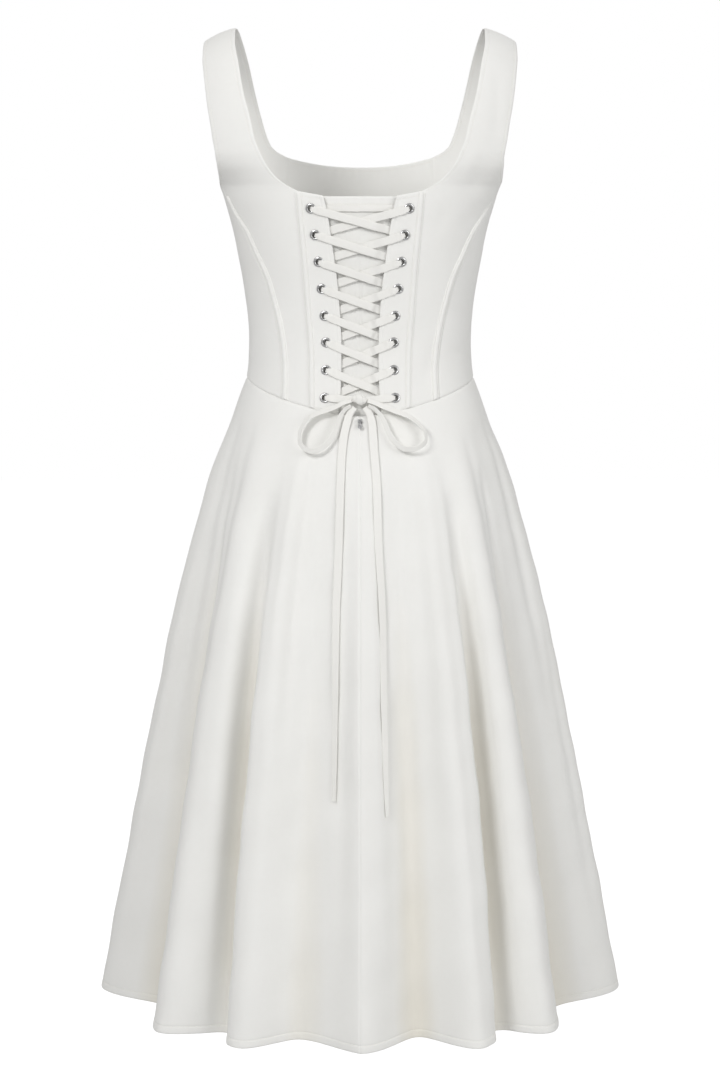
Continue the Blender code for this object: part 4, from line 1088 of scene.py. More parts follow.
def skirt_point(theta, drop):
    """The outer face of the skirt before its finer folds. Each point moves from the waist's ring to the
    hem's ellipse by the share in FLARE, then out by its flute."""
    theta, drop = np.broadcast_arrays(np.asarray(theta, float), np.asarray(drop, float))
    rear = np.cos(theta) >= 0
    u = np.arcsin(np.clip(np.sin(theta), -1, 1))
    top = waist_level(u)
    waist = np.where(rear[..., None], form(u, top, BACK), form(u, top, FRONT))
    depth = np.where(rear, HEM_BACK, HEM_FRONT)
    hem = np.stack([HEM_HALF_WIDTH * np.sin(theta), -depth * np.cos(theta)], axis=-1)
    outward = hem / np.stack([np.full(depth.shape, HEM_HALF_WIDTH), depth], axis=-1) ** 2
    outward /= np.linalg.norm(outward, axis=-1, keepdims=True)
    spread = FLARE.at("spread", drop)[..., None]
    place = waist[..., :2] * (1 - spread) + hem * spread + outward * flute(theta, drop)[..., None]
    return np.concatenate([place, (top + (HEM_LEVEL - top) * drop)[..., None]], axis=-1)


def skirt_raised(theta, drop, height):
    """The skirt's face moved out along its normal, the cross product of two short steps."""
    step = 1e-3
    along = skirt_point(theta, np.minimum(drop + step, 1)) - skirt_point(theta, np.maximum(drop - step, 0))
    across = skirt_point(theta + step, drop) - skirt_point(theta - step, drop)
    normal = np.cross(along, across)
    normal /= np.linalg.norm(normal, axis=-1, keepdims=True)
    return skirt_point(theta, drop) + normal * np.asarray(height, float)[..., None]


def skirt_at(x, level, height):
    """The point over the back of the skirt with this x and level before it is raised, found by halving."""
    x, level = np.asarray(x, float), np.asarray(level, float)
    low, high = np.full(x.shape, -math.pi / 3), np.full(x.shape, math.pi / 3)
    for _ in range(40):
        theta = (low + high) / 2
        top = waist_level(theta)
        drop = np.clip((top - level) / (top - HEM_LEVEL), 0, 1)
        short = skirt_point(theta, drop)[..., 0] < x
        low, high = np.where(short, theta, low), np.where(short, high, theta)
    return skirt_raised(theta, drop, fine_folds(theta, drop) + height)


# %% Skirt panels
HEM_FOLD = 0.0082
HEM_STEP, HEM_STEP_REACH = 0.00035, 0.0006
HEM_STITCH_DEPTH = 0.0004
HEM_PUCKER_HEIGHT, HEM_PUCKER_REACH = 0.00022, 0.009
HEM_EDGE_DEPTH = 0.0006
WAIST_SEAM_REACH = 0.0012
SKIRT_DRIFT = 2.2
SKIRT_ROWS = 128

# Rows of the skirt close to the waist seam, by distance under it, and about the hem, by distance over the edge
ROWS_UNDER_SEAM = np.array((0, 0.0004, 0.0009, 0.0016, 0.0026, 0.004))
ROWS_OVER_HEM = np.array((0.0135, 0.0105, 0.0092, 0.0086, 0.0082, 0.0078, 0.0070, 0.0055, 0.0035,
                          0.0018, 0.0008, 0.0003, 0))
DROP_LENGTH = 0.67
SKIRT_COLUMN_DEGREES = 0.85
# Painted shade in the skirt's folds: none where a point lies less than 9 mm in, full from 29 mm in
PAINTED_SHADE_DEPTH, PAINTED_SHADE_FROM = 0.020, 0.45
CROWD_DEGREES = np.array((0, 0.10, 0.22, 0.38, 0.62, 0.9, 1.3))


def skirt_drops():
    """Rows from the waist seam to the hem, close together under the seam and about the hem's stitches."""
    between = np.linspace(0.012, 0.97, SKIRT_ROWS)
    return np.concatenate([ROWS_UNDER_SEAM / DROP_LENGTH, between, 1 - ROWS_OVER_HEM / DROP_LENGTH])


def skirt_panel(name, first, last):
    angles = np.concatenate([
        first + CROWD_DEGREES,
        np.linspace(first + 1.9, last - 1.9, int((last - first) / SKIRT_COLUMN_DEGREES)),
        last - CROWD_DEGREES[::-1],
    ])
    theta, drop = np.meshgrid(np.radians(angles), skirt_drops())
    plain = skirt_point(theta, drop)
    from_first, from_last, from_waist, from_hem = distances(plain)
    folds = fine_folds(theta, drop) + drift(plain) * SKIRT_DRIFT * np.clip(drop * 6, 0, 1)
    seam = SEAM_DEPTH * (near(from_first, SEAM_REACH) + near(from_last, SEAM_REACH)
                         + near(from_waist, WAIST_SEAM_REACH))
    turned = np.clip((HEM_FOLD - from_hem) / HEM_STEP_REACH + 0.5, 0, 1) * HEM_STEP
    stitched = HEM_STITCH_DEPTH * near(from_hem - HEM_FOLD, STITCH_REACH)
    wander = np.sin(from_first * 395 + 2 * np.sin(from_first * 61))
    wavy = HEM_PUCKER_HEIGHT * wander * near(from_hem - HEM_FOLD, HEM_PUCKER_REACH)
    fold_end = HEM_EDGE_DEPTH * near(from_hem, STITCH_REACH)
    outer = folds - seam + turned - stitched + wavy - fold_end
    inner = folds - SKIRT_WALL - seam * 0.5 - turned + fold_end + wavy
    grids[name] = skirt_raised(theta, drop, outer), skirt_raised(theta, drop, inner)
    # Painted shade: how deep each point lies in its flute and folds, which darkens and warms the cloth's
    # colour there
    painted_shade_mask = np.clip(-(flute(theta, drop) + folds) / PAINTED_SHADE_DEPTH - PAINTED_SHADE_FROM, 0, 1)
    made = panels[name] = shell(name, *grids[name], ivory, painted_shade_mask)
    return made


SKIRT_PANELS = (("skirt_back_right", 0, 90), ("skirt_front", 90, 270), ("skirt_back_left", 270, 360))
for node, first, last in SKIRT_PANELS:
    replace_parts(skirt_panel(node + "_cloth", first, last), node)
print("skirt", [round(v, 3) for v in panels["skirt_front_cloth"].dimensions])

# %% [markdown]
# ## Lace, bow and knot
#
# The lace is a flat tape of the dress's own cloth. A curve object with a bevel would make it round, so its
# section, a thin oblong with soft edges, is carried along a path of stations instead. Where it passes
# through an eyelet it gathers itself narrow. From each eyelet a run crosses to the next one down on the
# other side: the run from the left always lies over the run from the right.

# %% Sizes and stations of the lace
# The flat lace: it narrows where it passes through an eyelet
LACE_WIDTH = 0.0088
LACE_THICKNESS = 0.0010
LACE_IN_HOLE = 0.0044
LACE_BEHIND = -0.0037
KNOT_X, KNOT_LEVEL, KNOT_HEIGHT = -0.0005, -0.4058, 0.0050
KNOT_RADII = (0.0085, 0.0042, 0.0056)

# The bow's loops and the tails, as points that the lace passes: distance from the middle towards +X, level,
# height over the cloth, and width
LOOP_LEFT = (
    (-0.0092, -0.4072, 0.0066, 0.0050),
    (-0.0165, -0.4092, 0.0072, 0.0060),
    (-0.0255, -0.4138, 0.0080, 0.0070),
    (-0.0355, -0.4178, 0.0085, 0.0076),
    (-0.0451, -0.4222, 0.0090, 0.0076),
    (-0.0530, -0.4274, 0.0095, 0.0074),
    (-0.0586, -0.4338, 0.0100, 0.0070),
    (-0.0625, -0.4425, 0.0105, 0.0064),
    (-0.0632, -0.4520, 0.0110, 0.0058),
    (-0.0595, -0.4598, 0.0110, 0.0056),
    (-0.0520, -0.4630, 0.0110, 0.0058),
    (-0.0440, -0.4610, 0.0105, 0.0062),
    (-0.0365, -0.4555, 0.0098, 0.0066),
    (-0.0305, -0.4482, 0.0090, 0.0066),
    (-0.0262, -0.4400, 0.0085, 0.0062),
    (-0.0232, -0.4315, 0.0080, 0.0058),
    (-0.0200, -0.4230, 0.0076, 0.0052),
    (-0.0155, -0.4165, 0.0072, 0.0046),
    (-0.0098, -0.4125, 0.0062, 0.0040),
)
LOOP_RIGHT = (
    (0.0082, -0.4074, 0.0066, 0.0050),
    (0.0160, -0.4098, 0.0072, 0.0060),
    (0.0237, -0.4132, 0.0080, 0.0070),
    (0.0318, -0.4164, 0.0085, 0.0074),
    (0.0402, -0.4200, 0.0090, 0.0076),
    (0.0480, -0.4240, 0.0095, 0.0076),
    (0.0555, -0.4290, 0.0100, 0.0074),
    (0.0625, -0.4352, 0.0105, 0.0070),
    (0.0678, -0.4430, 0.0110, 0.0064),
    (0.0686, -0.4515, 0.0110, 0.0058),
    (0.0640, -0.4582, 0.0110, 0.0056),
    (0.0560, -0.4612, 0.0110, 0.0058),
    (0.0480, -0.4604, 0.0105, 0.0062),
    (0.0405, -0.4562, 0.0098, 0.0066),
    (0.0345, -0.4496, 0.0090, 0.0066),
    (0.0300, -0.4415, 0.0085, 0.0062),
    (0.0265, -0.4325, 0.0080, 0.0058),
    (0.0222, -0.4240, 0.0076, 0.0052),
    (0.0165, -0.4170, 0.0072, 0.0046),
    (0.0088, -0.4125, 0.0062, 0.0040),
)
TAIL_LEFT = (
    (-0.0058, -0.4140, 0.0036, 0.0060),
    (-0.0105, -0.4200, 0.0040, 0.0074),
    (-0.0138, -0.4290, 0.0028, 0.0086),
    (-0.0178, -0.4467, 0.0020, 0.0088),
    (-0.0200, -0.4726, 0.0018, 0.0088),
    (-0.0215, -0.5229, 0.0018, 0.0088),
    (-0.0230, -0.5770, 0.0018, 0.0088),
    (-0.0252, -0.6340, 0.0018, 0.0086),
    (-0.0258, -0.6800, 0.0018, 0.0080),
    (-0.0262, -0.7241, 0.0018, 0.0074),
    (-0.0270, -0.7862, 0.0018, 0.0066),
    (-0.0275, -0.8274, 0.0018, 0.0040),
)
TAIL_RIGHT = (
    (0.0050, -0.4140, 0.0036, 0.0060),
    (0.0098, -0.4200, 0.0040, 0.0074),
    (0.0130, -0.4320, 0.0028, 0.0086),
    (0.0150, -0.4573, 0.0020, 0.0088),
    (0.0178, -0.4969, 0.0018, 0.0088),
    (0.0192, -0.5531, 0.0018, 0.0088),
    (0.0228, -0.6143, 0.0018, 0.0088),
    (0.0243, -0.6557, 0.0018, 0.0086),
    (0.0246, -0.7241, 0.0018, 0.0080),
    (0.0256, -0.7634, 0.0018, 0.0074),
    (0.0260, -0.8027, 0.0018, 0.0066),
    (0.0276, -0.8429, 0.0018, 0.0048),
)

# Stations of the lace beside an eyelet: distance from its middle towards the gap, height over the band and
# width. It comes up through one hole and, at the end of its run, dives under the band to the next.
OUT_OF_HOLE = (
    (0.0, -0.0010, LACE_IN_HOLE),
    (0.0007, 0.0012, LACE_IN_HOLE),
    (0.0025, 0.0021, 0.0058),
    (0.0064, 0.0021, 0.0080),
)
INTO_HOLE = (
    (0.0058, -0.0040, 0.0066),
    (0.0022, -0.0042, 0.0044),
    (0.0006, -0.0026, LACE_IN_HOLE),
)

LACE_PACE = 0.0011
SECTION_TURNS = np.arange(20) * 2 * math.pi / 20


def tape_section(crown):
    """The tape's section as places across and through it, from -1 to 1: a square-shouldered oval, with
    cos and sin drawn towards 1 by small powers."""
    c, s = np.cos(SECTION_TURNS), np.sin(SECTION_TURNS)
    across = np.sign(c) * np.abs(c) ** 0.45
    through = np.sign(s) * np.abs(s) ** 0.55
    return across, through, crown * (1 - across ** 2)


def refined(stations, pace):
    """Smooth curves through stations, with a point about every pace along the path."""
    steps = np.linalg.norm(np.diff(stations[:, :3], axis=0), axis=1)
    places = np.concatenate([[0], np.cumsum(steps)])
    where = np.linspace(0, places[-1], max(4, int(places[-1] / pace)))
    return smooth(places, stations, where), where


def tube_faces(count, turns):
    """Four-sided faces of a tube of count rings with so many points each, and of its two ends, which are
    closed in strips from one side of the ring to the other."""
    k, j = np.arange(count - 1)[:, None] * turns, np.arange(turns)
    after = (j + 1) % turns
    sides = np.stack([k + j, k + after, k + turns + after, k + turns + j], axis=-1).reshape(-1, 4)
    j = j[:turns // 2 - 1]
    cap = np.stack([j, j + 1, turns - 2 - j, turns - 1 - j], axis=-1)
    return np.concatenate([sides, cap, cap[:, ::-1] + (count - 1) * turns])


def tape(name, centres, across, widths, look, thickness=LACE_THICKNESS, crown=0.00012):
    """A tape along centres: its section is laid out at each along the width direction and the normal."""
    tangent = np.gradient(centres, axis=0)
    tangent /= np.linalg.norm(tangent, axis=1, keepdims=True)
    across = across - tangent * (across * tangent).sum(axis=1, keepdims=True)
    across /= np.linalg.norm(across, axis=1, keepdims=True)
    normal = np.cross(across, tangent)
    place, depth, rise = tape_section(crown)
    count, turns = len(centres), len(SECTION_TURNS)
    points = (centres[:, None] + across[:, None] * (place * widths[:, None] / 2)[..., None]
              + normal[:, None] * (depth * thickness / 2 + rise)[None, :, None])
    along = np.concatenate([[0], np.cumsum(np.linalg.norm(np.diff(centres, axis=0), axis=1))])
    uv = np.stack([np.broadcast_to(place * widths[:, None] / 2, (count, turns)),
                   np.broadcast_to(along[:, None], (count, turns))], axis=-1).reshape(-1, 2)
    return make(name, points.reshape(-1, 3), tube_faces(count, turns), look, uv, 50)


def over_bodice(x, level, height):
    """A point over the back of the bodice, with x negative on the left."""
    turn = np.stack([np.sign(x), np.ones(x.shape), np.ones(x.shape)], axis=-1)
    return raised(angle_at(np.abs(x), level, BACK), level, BACK, height) * turn


def over_cloth(x, level, height):
    """A point over the back of the dress: over the bodice above the waist seam, over the skirt below it."""
    share = np.clip((level - WAIST_CENTRE_LEVEL + 0.004) / 0.008, 0, 1)[..., None]
    return over_bodice(x, level, height) * share + skirt_at(x, level, height) * (1 - share)


def free_lace(name, rows, tilt, twist=0.0):
    """A free stretch of lace through its table's points. Its width lies along the cloth, turned by a tilt
    that may change along it by twist."""
    table = np.array(rows)
    guide = over_cloth(table[:, 0], table[:, 1], table[:, 2])
    stations, _ = refined(np.column_stack([guide, table]), LACE_PACE * 1.5)
    x, level, height, width = stations[:, 3:].T
    centres = over_cloth(x, level, height)
    outward = over_cloth(x, level, height + 0.001) - centres
    outward /= np.linalg.norm(outward, axis=1, keepdims=True)
    flat = np.cross(outward, np.gradient(centres, axis=0))
    flat /= np.linalg.norm(flat, axis=1, keepdims=True)
    turn = (tilt + twist * np.sin(np.linspace(0, 1, len(x)) * 9.0))[:, None]
    made = tape(name, centres, flat * np.cos(turn) + outward * np.sin(turn), width, lace_cloth)
    return made


free_ends = (
    ("bow_loop_cloth_left", "bow_loop_left", LOOP_LEFT, math.radians(35), 0.06, 0.0066, "object"),
    ("bow_loop_cloth_right", "bow_loop_right", LOOP_RIGHT, math.radians(-35), 0.06, 0.0066, "object"),
    ("tail_cloth_left", "lace_tail_left", TAIL_LEFT, 0.0, 0.10, LACE_WIDTH, "bare"),
    ("tail_cloth_right", "lace_tail_right", TAIL_RIGHT, 0.0, 0.10, LACE_WIDTH, "bare"),
)
for name, node, rows, tilt, twist, width, far_end in free_ends:
    made = free_lace(name, rows, tilt, twist)
    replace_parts(made, node)


# %% The crossed runs between the eyelets
def lace_run(side, row):
    """Stations of one run, from the hole of one eyelet to the opposite eyelet of the next row: x, level,
    height over the band, width, and the direction of the run."""
    over = side == -1
    x_from, level_from = EYELETS[row - 1]
    x_to, level_to = EYELETS[row]
    slope = (level_from - level_to) / (x_from + x_to)
    lap = LACE_WIDTH / math.cos(math.atan(slope)) / (2 * slope)
    own_edge = float(OPENING.at("x", level_from - slope * (x_from - 0.03)))
    far_edge = float(OPENING.at("x", level_to))
    stations = np.array((
        *((-x_from + gap, height, width) for gap, height, width in OUT_OF_HOLE),
        (-x_from + 0.0105, 0.0012, LACE_WIDTH),
        (-own_edge + 0.0025, 0.0011, LACE_WIDTH),
        (-lap, 0.0008 if over else -0.0018, LACE_WIDTH),
        (0.0, 0.0004 if over else -0.0020, LACE_WIDTH),
        (lap, -0.0002 if over else -0.0026, LACE_WIDTH),
        (far_edge - 0.0030, LACE_BEHIND + 0.0004, LACE_WIDTH),
        (x_to - 0.0088, LACE_BEHIND, 0.0080),
        *((x_to - gap, height, width) for gap, height, width in INTO_HOLE),
    ))
    x, height, width = stations.T
    return np.column_stack([-side * x, level_from - slope * (x + x_from), height, width,
                            np.broadcast_to((-side, -slope), (len(x), 2))])


def half_lace(name, side):
    """One half of the lace: from the middle of the top run, through eyelet 1, down the crossings and
    through eyelet 8, ending beside the knot."""
    top_x, top_level = EYELETS[0]
    x, height, width = np.array((
        (0.0, LACE_BEHIND, 0.0076),
        (0.0200, LACE_BEHIND, 0.0076),
        (top_x - 0.0120, LACE_BEHIND, 0.0074),
        *((top_x - gap, height, width) for gap, height, width in INTO_HOLE),
    )).T
    direction = np.broadcast_to((side, 0.0), (len(x), 2))
    runs = [np.column_stack([side * x, np.full(x.shape, top_level), height, width, direction])]
    for row in range(1, len(EYELETS)):
        runs.append(lace_run(side, row))
        side = -side
    last_x, last_level = EYELETS[-1]
    x, height, width = np.array((
        *((last_x - gap, height, width) for gap, height, width in OUT_OF_HOLE),
        (last_x - 0.0110, 0.0014, 0.0084),
        (0.0200, 0.0018, 0.0080),
        (0.0095, 0.0040, 0.0060),
        (0.0060, 0.0044, 0.0050),
    )).T
    direction = np.broadcast_to((side, 0.0), (len(x), 2))
    runs.append(np.column_stack([side * x, last_level - (last_x - x) * 0.07, height, width, direction]))
    table = np.concatenate(runs)
    table[table[:, 4] < 0, 4:] *= -1
    guide = over_bodice(table[:, 0], table[:, 1], table[:, 2])
    stations, where = refined(np.column_stack([guide, table]), LACE_PACE)
    x, level, height, width, step_x, step_z = stations[:, 3:].T
    centres = over_bodice(x, level, height)
    across = over_bodice(x + step_z * 1e-3, level - step_x * 1e-3, height) - centres
    width = width * (1 + 0.018 * np.sin(where * 210 + side))
    return tape(name, centres, across, width, lace_cloth)


for side in (-1, 1):
    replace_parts(half_lace(f"lace_cloth_{NAMES[side]}", side), f"lace_from_{NAMES[side]}")


# %% The knot
def knot():
    """A lump of wound tape: an oval whose radius swells over the wrap in its middle, with fine creases
    fanning out from it, as one plus small waves of the angle round it."""
    rows, turns = 40, 48
    a, b = np.meshgrid(np.linspace(0.002, math.pi - 0.002, rows), np.arange(turns) * 2 * math.pi / turns,
                       indexing="ij")
    wrap = np.exp(-((a - math.pi / 2) / 0.42) ** 4)
    creases = 0.045 * np.sin(b * 7 + 2 * np.cos(a) + 0.6) * (1 - wrap) + 0.03 * np.sin(b * 3 + 1.0)
    valley = 0.10 * (near(a - math.pi / 2 - 0.52, 0.07) + near(a - math.pi / 2 + 0.52, 0.07))
    radius = 0.88 + 0.17 * wrap + creases - valley
    centre = over_bodice(np.array(KNOT_X), np.array(KNOT_LEVEL), np.array(KNOT_HEIGHT))
    points = np.stack([
        KNOT_RADII[0] * np.cos(a) * (0.94 + 0.06 * radius),
        KNOT_RADII[1] * np.sin(a) * np.cos(b) * radius,
        KNOT_RADII[2] * np.sin(a) * np.sin(b) * radius - 0.0008 * np.sin(a * 2),
    ], axis=-1) + centre
    uv = np.stack([a * 0.006, b * 0.005], axis=-1).reshape(-1, 2)
    return make("bow_knot_cloth", points.reshape(-1, 3), tube_faces(rows, turns), lace_cloth, uv)


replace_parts(knot(), "bow_knot")

# %% [markdown]
# ## Eyelets
#
# A two-part metal eyelet shows a rounded, slightly dished flange in front, and its barrel is rolled over a
# washer behind. Both are one profile turned about the hole's axis.

# %% Turned eyelets
EYELET_PROFILE = np.array((
    (0.00310, -0.00210), (0.00312, 0.00020), (0.00325, 0.00062), (0.00358, 0.00095), (0.00405, 0.00112),
    (0.00455, 0.00108), (0.00505, 0.00088), (0.00545, 0.00060), (0.00568, 0.00030), (0.00560, 0.00012),
    (0.00400, 0.00008), (0.00392, -0.00020), (0.00392, -0.00190), (0.00400, -0.00222), (0.00540, -0.00226),
    (0.00555, -0.00240), (0.00540, -0.00262), (0.00460, -0.00285), (0.00390, -0.00300), (0.00345, -0.00292),
    (0.00318, -0.00262),
))
EYELET_STEPS = 36


def eyelets(side):
    """Eight turned rings joined in one mesh: each is the profile's radius along a turning direction in the
    band's plane, plus its height along the outward direction."""
    angles = np.arange(EYELET_STEPS) * 2 * math.pi / EYELET_STEPS
    count = len(EYELET_PROFILE)
    points, faces = [], []
    k, j = np.arange(EYELET_STEPS)[:, None], np.arange(count)
    after_j, after_k = (j + 1) % count, (k + 1) % EYELET_STEPS * count
    cells = np.stack([k * count + j, k * count + after_j, after_k + after_j, after_k + j], axis=-1)
    cells = cells.reshape(-1, 4)
    for row, (x, level) in enumerate(EYELETS):
        centre, outward, right, up = eyelet_frame(side, x, level)
        turning = right * np.cos(angles)[:, None] + up * np.sin(angles)[:, None]
        ring_points = (centre + turning[:, None] * EYELET_PROFILE[None, :, :1]
                       + outward * EYELET_PROFILE[None, :, 1:])
        points.append(ring_points.reshape(-1, 3))
        faces.append(cells + row * EYELET_STEPS * count)
    return make(f"eyelets_{NAMES[side]}", np.concatenate(points), np.concatenate(faces), silver)


for side in (-1, 1):
    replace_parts(eyelets(side), *[f"eyelet_{NAMES[side]}_{row}" for row in range(1, len(EYELETS) + 1)])

# %% [markdown]
# ## Lines of stitches
#
# Every topstitched edge and channel shows a row of small thread bumps. Each stitch is one rice-grain shape
# of a few faces, set half into the cloth, and each line of them is copied along its path as whole arrays.

# %% Stitches along paths
STITCH_LENGTH, STITCH_PITCH, STITCH_RADIUS = 0.0024, 0.0031, 0.00021
stitch_lines = []


def grain():
    """A grain 1 long and 1 thick with six sides, as points along x and its faces."""
    stops = np.array((-0.5, -0.3, 0.3, 0.5))
    radii = np.array((0.35, 1.0, 1.0, 0.35))
    turn = np.arange(6) * math.pi / 3
    points = np.stack([np.repeat(stops, 6), np.outer(radii, np.cos(turn)).ravel(),
                       np.outer(radii, np.sin(turn)).ravel()], axis=-1)
    return points, tube_faces(len(stops), 6)


def walk(values, places, where):
    """Rows of three values, known at places along a path, read at other places along it."""
    return np.stack([np.interp(where, places, values[:, k]) for k in range(3)], axis=-1)


def stitch_line(path, outward):
    """Keeps one line of stitches: places along a path at an even pitch, with direction and outward."""
    steps = np.linalg.norm(np.diff(path, axis=0), axis=1)
    places = np.concatenate([[0], np.cumsum(steps)])
    where = np.arange(STITCH_PITCH * 0.6, places[-1] - STITCH_PITCH * 0.4, STITCH_PITCH)
    ahead = walk(path, places, where + STITCH_LENGTH / 2)
    behind = walk(path, places, where - STITCH_LENGTH / 2)
    stitch_lines.append((walk(path, places, where), ahead - behind, walk(outward, places, where)))


def sew(name):
    """One mesh of every line kept so far: each grain is turned to its line by three unit vectors."""
    middle, along, out = (np.concatenate(column) for column in zip(*stitch_lines))
    along /= np.linalg.norm(along, axis=1, keepdims=True)
    out -= along * (out * along).sum(axis=1, keepdims=True)
    out /= np.linalg.norm(out, axis=1, keepdims=True)
    aside = np.cross(out, along)
    points, faces = grain()
    places = (middle[:, None] + along[:, None] * points[None, :, :1] * STITCH_LENGTH
              + aside[:, None] * points[None, :, 1:2] * STITCH_RADIUS * 1.1
              + out[:, None] * (points[None, :, 2:] * STITCH_RADIUS))
    cells = faces[None] + (np.arange(len(middle)) * len(points))[:, None, None]
    uv = np.tile(points[:, :2] * 0.002, (len(middle), 1))
    stitch_lines.clear()
    print(name, len(middle), "stitches")
    return make(name, places.reshape(-1, 3), cells.reshape(-1, 4), thread, uv)


def edge_stitches(name, which, inset, rows=None):
    """A line of stitches at a set distance from a panel's edge, on its outer face: for every row the place
    at that distance is read between its columns."""
    outside, inside = grids[name]
    if which in ("top", "bottom"):
        outside, inside = outside.transpose(1, 0, 2), inside.transpose(1, 0, 2)
    if which in ("outer", "bottom"):
        outside, inside = outside[:, ::-1], inside[:, ::-1]
    if rows is not None:
        outside, inside = outside[rows], inside[rows]
    gap = run_lengths(outside, 1)
    for face, away in ((outside, outside - inside), (inside, inside - outside)):
        path, out = (np.array([walk(row, g, inset) for g, row in zip(gap, grid)]) for grid in (face, away))
        stitch_line(path, out)


# %% Where the dress is topstitched
for side in (-1, 1):
    word = NAMES[side]
    back, front = f"back_panel_cloth_{word}", f"front_side_cloth_{word}"
    edge_stitches(back, "inner", STITCH_INSET, FREE_ROWS[back][0])
    edge_stitches(back, "outer", STITCH_INSET, FREE_ROWS[back][1])
    edge_stitches(front, "inner", STITCH_INSET, FREE_ROWS[front][0])
    edge_stitches(front, "outer", STITCH_INSET, FREE_ROWS[front][1])
    edge_stitches(f"side_back_cloth_{word}", "top", STITCH_INSET)
    edge_stitches(f"lacing_band_cloth_{word}", "top", STITCH_INSET)
    for strip in (f"band_channel_cloth_{word}", f"seam_channel_cloth_{word}"):
        outside, inside = grids[strip]
        for column in (4, -5):
            stitch_line(outside[:, column], outside[:, column] - inside[:, column])
edge_stitches("front_centre_cloth", "top", STITCH_INSET)
edge_stitches("modesty_cloth", "top", 0.0085)
sew("bodice_stitches")
for name in ("skirt_back_right_cloth", "skirt_front_cloth", "skirt_back_left_cloth"):
    edge_stitches(name, "bottom", HEM_FOLD)
sew("hem_stitches")

# %% [markdown]
# ## Slider and pull
#
# The zip is closed, so its slider sits at the top of the skirt's back seam and its pull hangs against the
# skirt. They are small hard pieces with true shapes already, so the solids stay and only take a finish.

# %% Finish of the zip's pieces
for node in ("zip_slider", "zip_pull"):
    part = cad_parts[node]
    part.data.materials.clear()
    part.data.materials.append(silver)

# %% [markdown]
# ## What moves with what, and how each panel was cut
#
# All the cloth goes with the dress. Each panel's cut is listed with its flat size, the smallest oblong that
# the panel is cut from, and its area, which is printed beside half the area of the shell that was made.

# %% Bodies, and the cuts of the panels
for made in [o for o in bpy.context.scene.objects if o.type == "MESH" and o.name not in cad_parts]:
    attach(made, "dress")


# Cuts: the panel, its flat width, length and area, how it is held, and what it is sewn to
CUTS = (
    ("back_panel_cloth_{}", 0.135, 0.425, 0.0240, "stretched", ("lacing_band_{}", "side_back_{}")),
    ("side_back_cloth_{}", 0.085, 0.250, 0.0145, "stretched", ("back_panel_{}", "front_side_{}")),
    ("front_side_cloth_{}", 0.170, 0.470, 0.0422, "stretched", ("front_centre", "side_back_{}")),
    ("lacing_band_cloth_{}", 0.038, 0.245, 0.0076, "stretched", ("back_panel_{}",)),
    ("band_channel_cloth_{}", 0.010, 0.252, 0.0025, "laid", ("back_panel_{}", "lacing_band_{}")),
    ("seam_channel_cloth_{}", 0.010, 0.262, 0.0026, "laid", ("back_panel_{}",)),
    ("skirt_back_{}_cloth", 0.560, 0.680, 0.2630, "hung", ("back_panel_{}", "side_back_{}")),
)
SINGLE_CUTS = (
    ("front_centre_cloth", 0.190, 0.290, 0.0405, "stretched", ("front_side_left", "front_side_right")),
    ("modesty_cloth", 0.155, 0.245, 0.0328, "stretched", ("back_panel_left", "back_panel_right")),
    ("skirt_front_cloth", 1.060, 0.700, 0.4970, "hung",
     ("front_centre", "front_side_left", "front_side_right")),
)


def declare(name, width, length, area, held, carriers):
    made = panels[name]
    areas = np.empty(len(made.data.polygons))
    made.data.polygons.foreach_get("area", areas)
    print(name, "cut", area, "made", round(float(areas.sum() / 2), 4))


for word in NAMES.values():
    for name, *cut, carriers in CUTS:
        declare(name.format(word), *cut, [carrier.format(word) for carrier in carriers])
for row in SINGLE_CUTS:
    declare(*row)

# %% [markdown]
# ## Floor and light
#
# A white dress on white is shown by its shades alone, so the plain Standard tone curve is used: the filmic
# one would grey the whites. Two soft panels light the back: one high on the left, which is nearer and
# harder, and a broader one on the right that fills its shadows. A third stands in front of the dress,
# behind it from here, and lights the inside of the neck and the straps' edges. Floor and backdrop are meant
# to be plain white to the eye without lighting the dress from below, so what a camera ray sees of them is
# set apart from the light that they give.

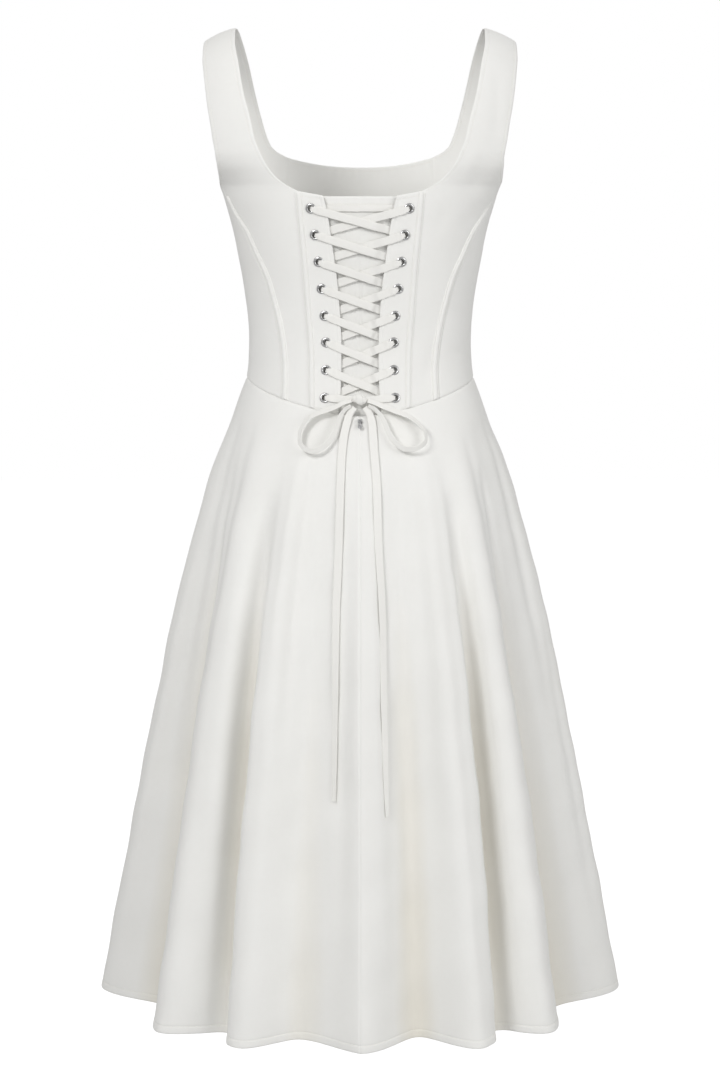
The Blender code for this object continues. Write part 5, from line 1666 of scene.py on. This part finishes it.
# %% Studio
FLOOR_LEVEL = -1.42
FLOOR_REACH = 9.0
WORLD_LIGHT = 0.46
WHITE_SEEN = 1.0


def seen_and_given(tree, seen, given):
    """A number that is one value for what a camera ray sees and another for light that is given."""
    rays = tree.nodes.new("ShaderNodeLightPath")
    return math_node(tree, "MULTIPLY_ADD", rays.outputs["Is Camera Ray"], seen - given, given)


corners = [(x * FLOOR_REACH, y * FLOOR_REACH, FLOOR_LEVEL) for x, y in ((-1, -1), (1, -1), (1, 1), (-1, 1))]
floor_mesh = bpy.data.meshes.new("floor")
floor_mesh.from_pydata(corners, [], [(0, 1, 2, 3)])
floor = bpy.data.objects.new("floor", floor_mesh)
bpy.context.scene.collection.objects.link(floor)
pale = bpy.data.materials.new("Pale floor")
pale.use_nodes = True
paint = pale.node_tree.nodes["Principled BSDF"]
paint.inputs["Base Color"].default_value = (0.62, 0.62, 0.62, 1)
paint.inputs["Roughness"].default_value = 0.9
paint.inputs["Emission Color"].default_value = (1, 1, 1, 1)
pale.node_tree.links.new(seen_and_given(pale.node_tree, 0.72, 0.0), paint.inputs["Emission Strength"])
floor_mesh.materials.append(pale)

world = bpy.data.worlds.new("Studio")
world.use_nodes = True
backdrop = world.node_tree.nodes["Background"]
backdrop.inputs["Color"].default_value = (1, 1, 1, 1)
strength = seen_and_given(world.node_tree, WHITE_SEEN, WORLD_LIGHT)
world.node_tree.links.new(strength, backdrop.inputs["Strength"])
bpy.context.scene.world = world
bpy.context.scene.view_settings.view_transform = "Standard"


def soft_light(name, place, target, size, power):
    """A square area light that faces its target."""
    lamp = bpy.data.lights.new(name, "AREA")
    lamp.size = size
    lamp.energy = power
    made = bpy.data.objects.new(name, lamp)
    made.location = place
    made.rotation_euler = (Vector(target) - Vector(place)).to_track_quat("-Z", "Y").to_euler()
    bpy.context.scene.collection.objects.link(made)


soft_light("key", (-1.25, -2.15, 0.95), (0, 0, -0.40), 0.8, 31)
soft_light("fill", (2.3, -2.3, 0.35), (0, 0, -0.5), 1.8, 31)
soft_light("rim", (0.3, 2.2, 1.3), (0, 0, -0.4), 1.4, 12)
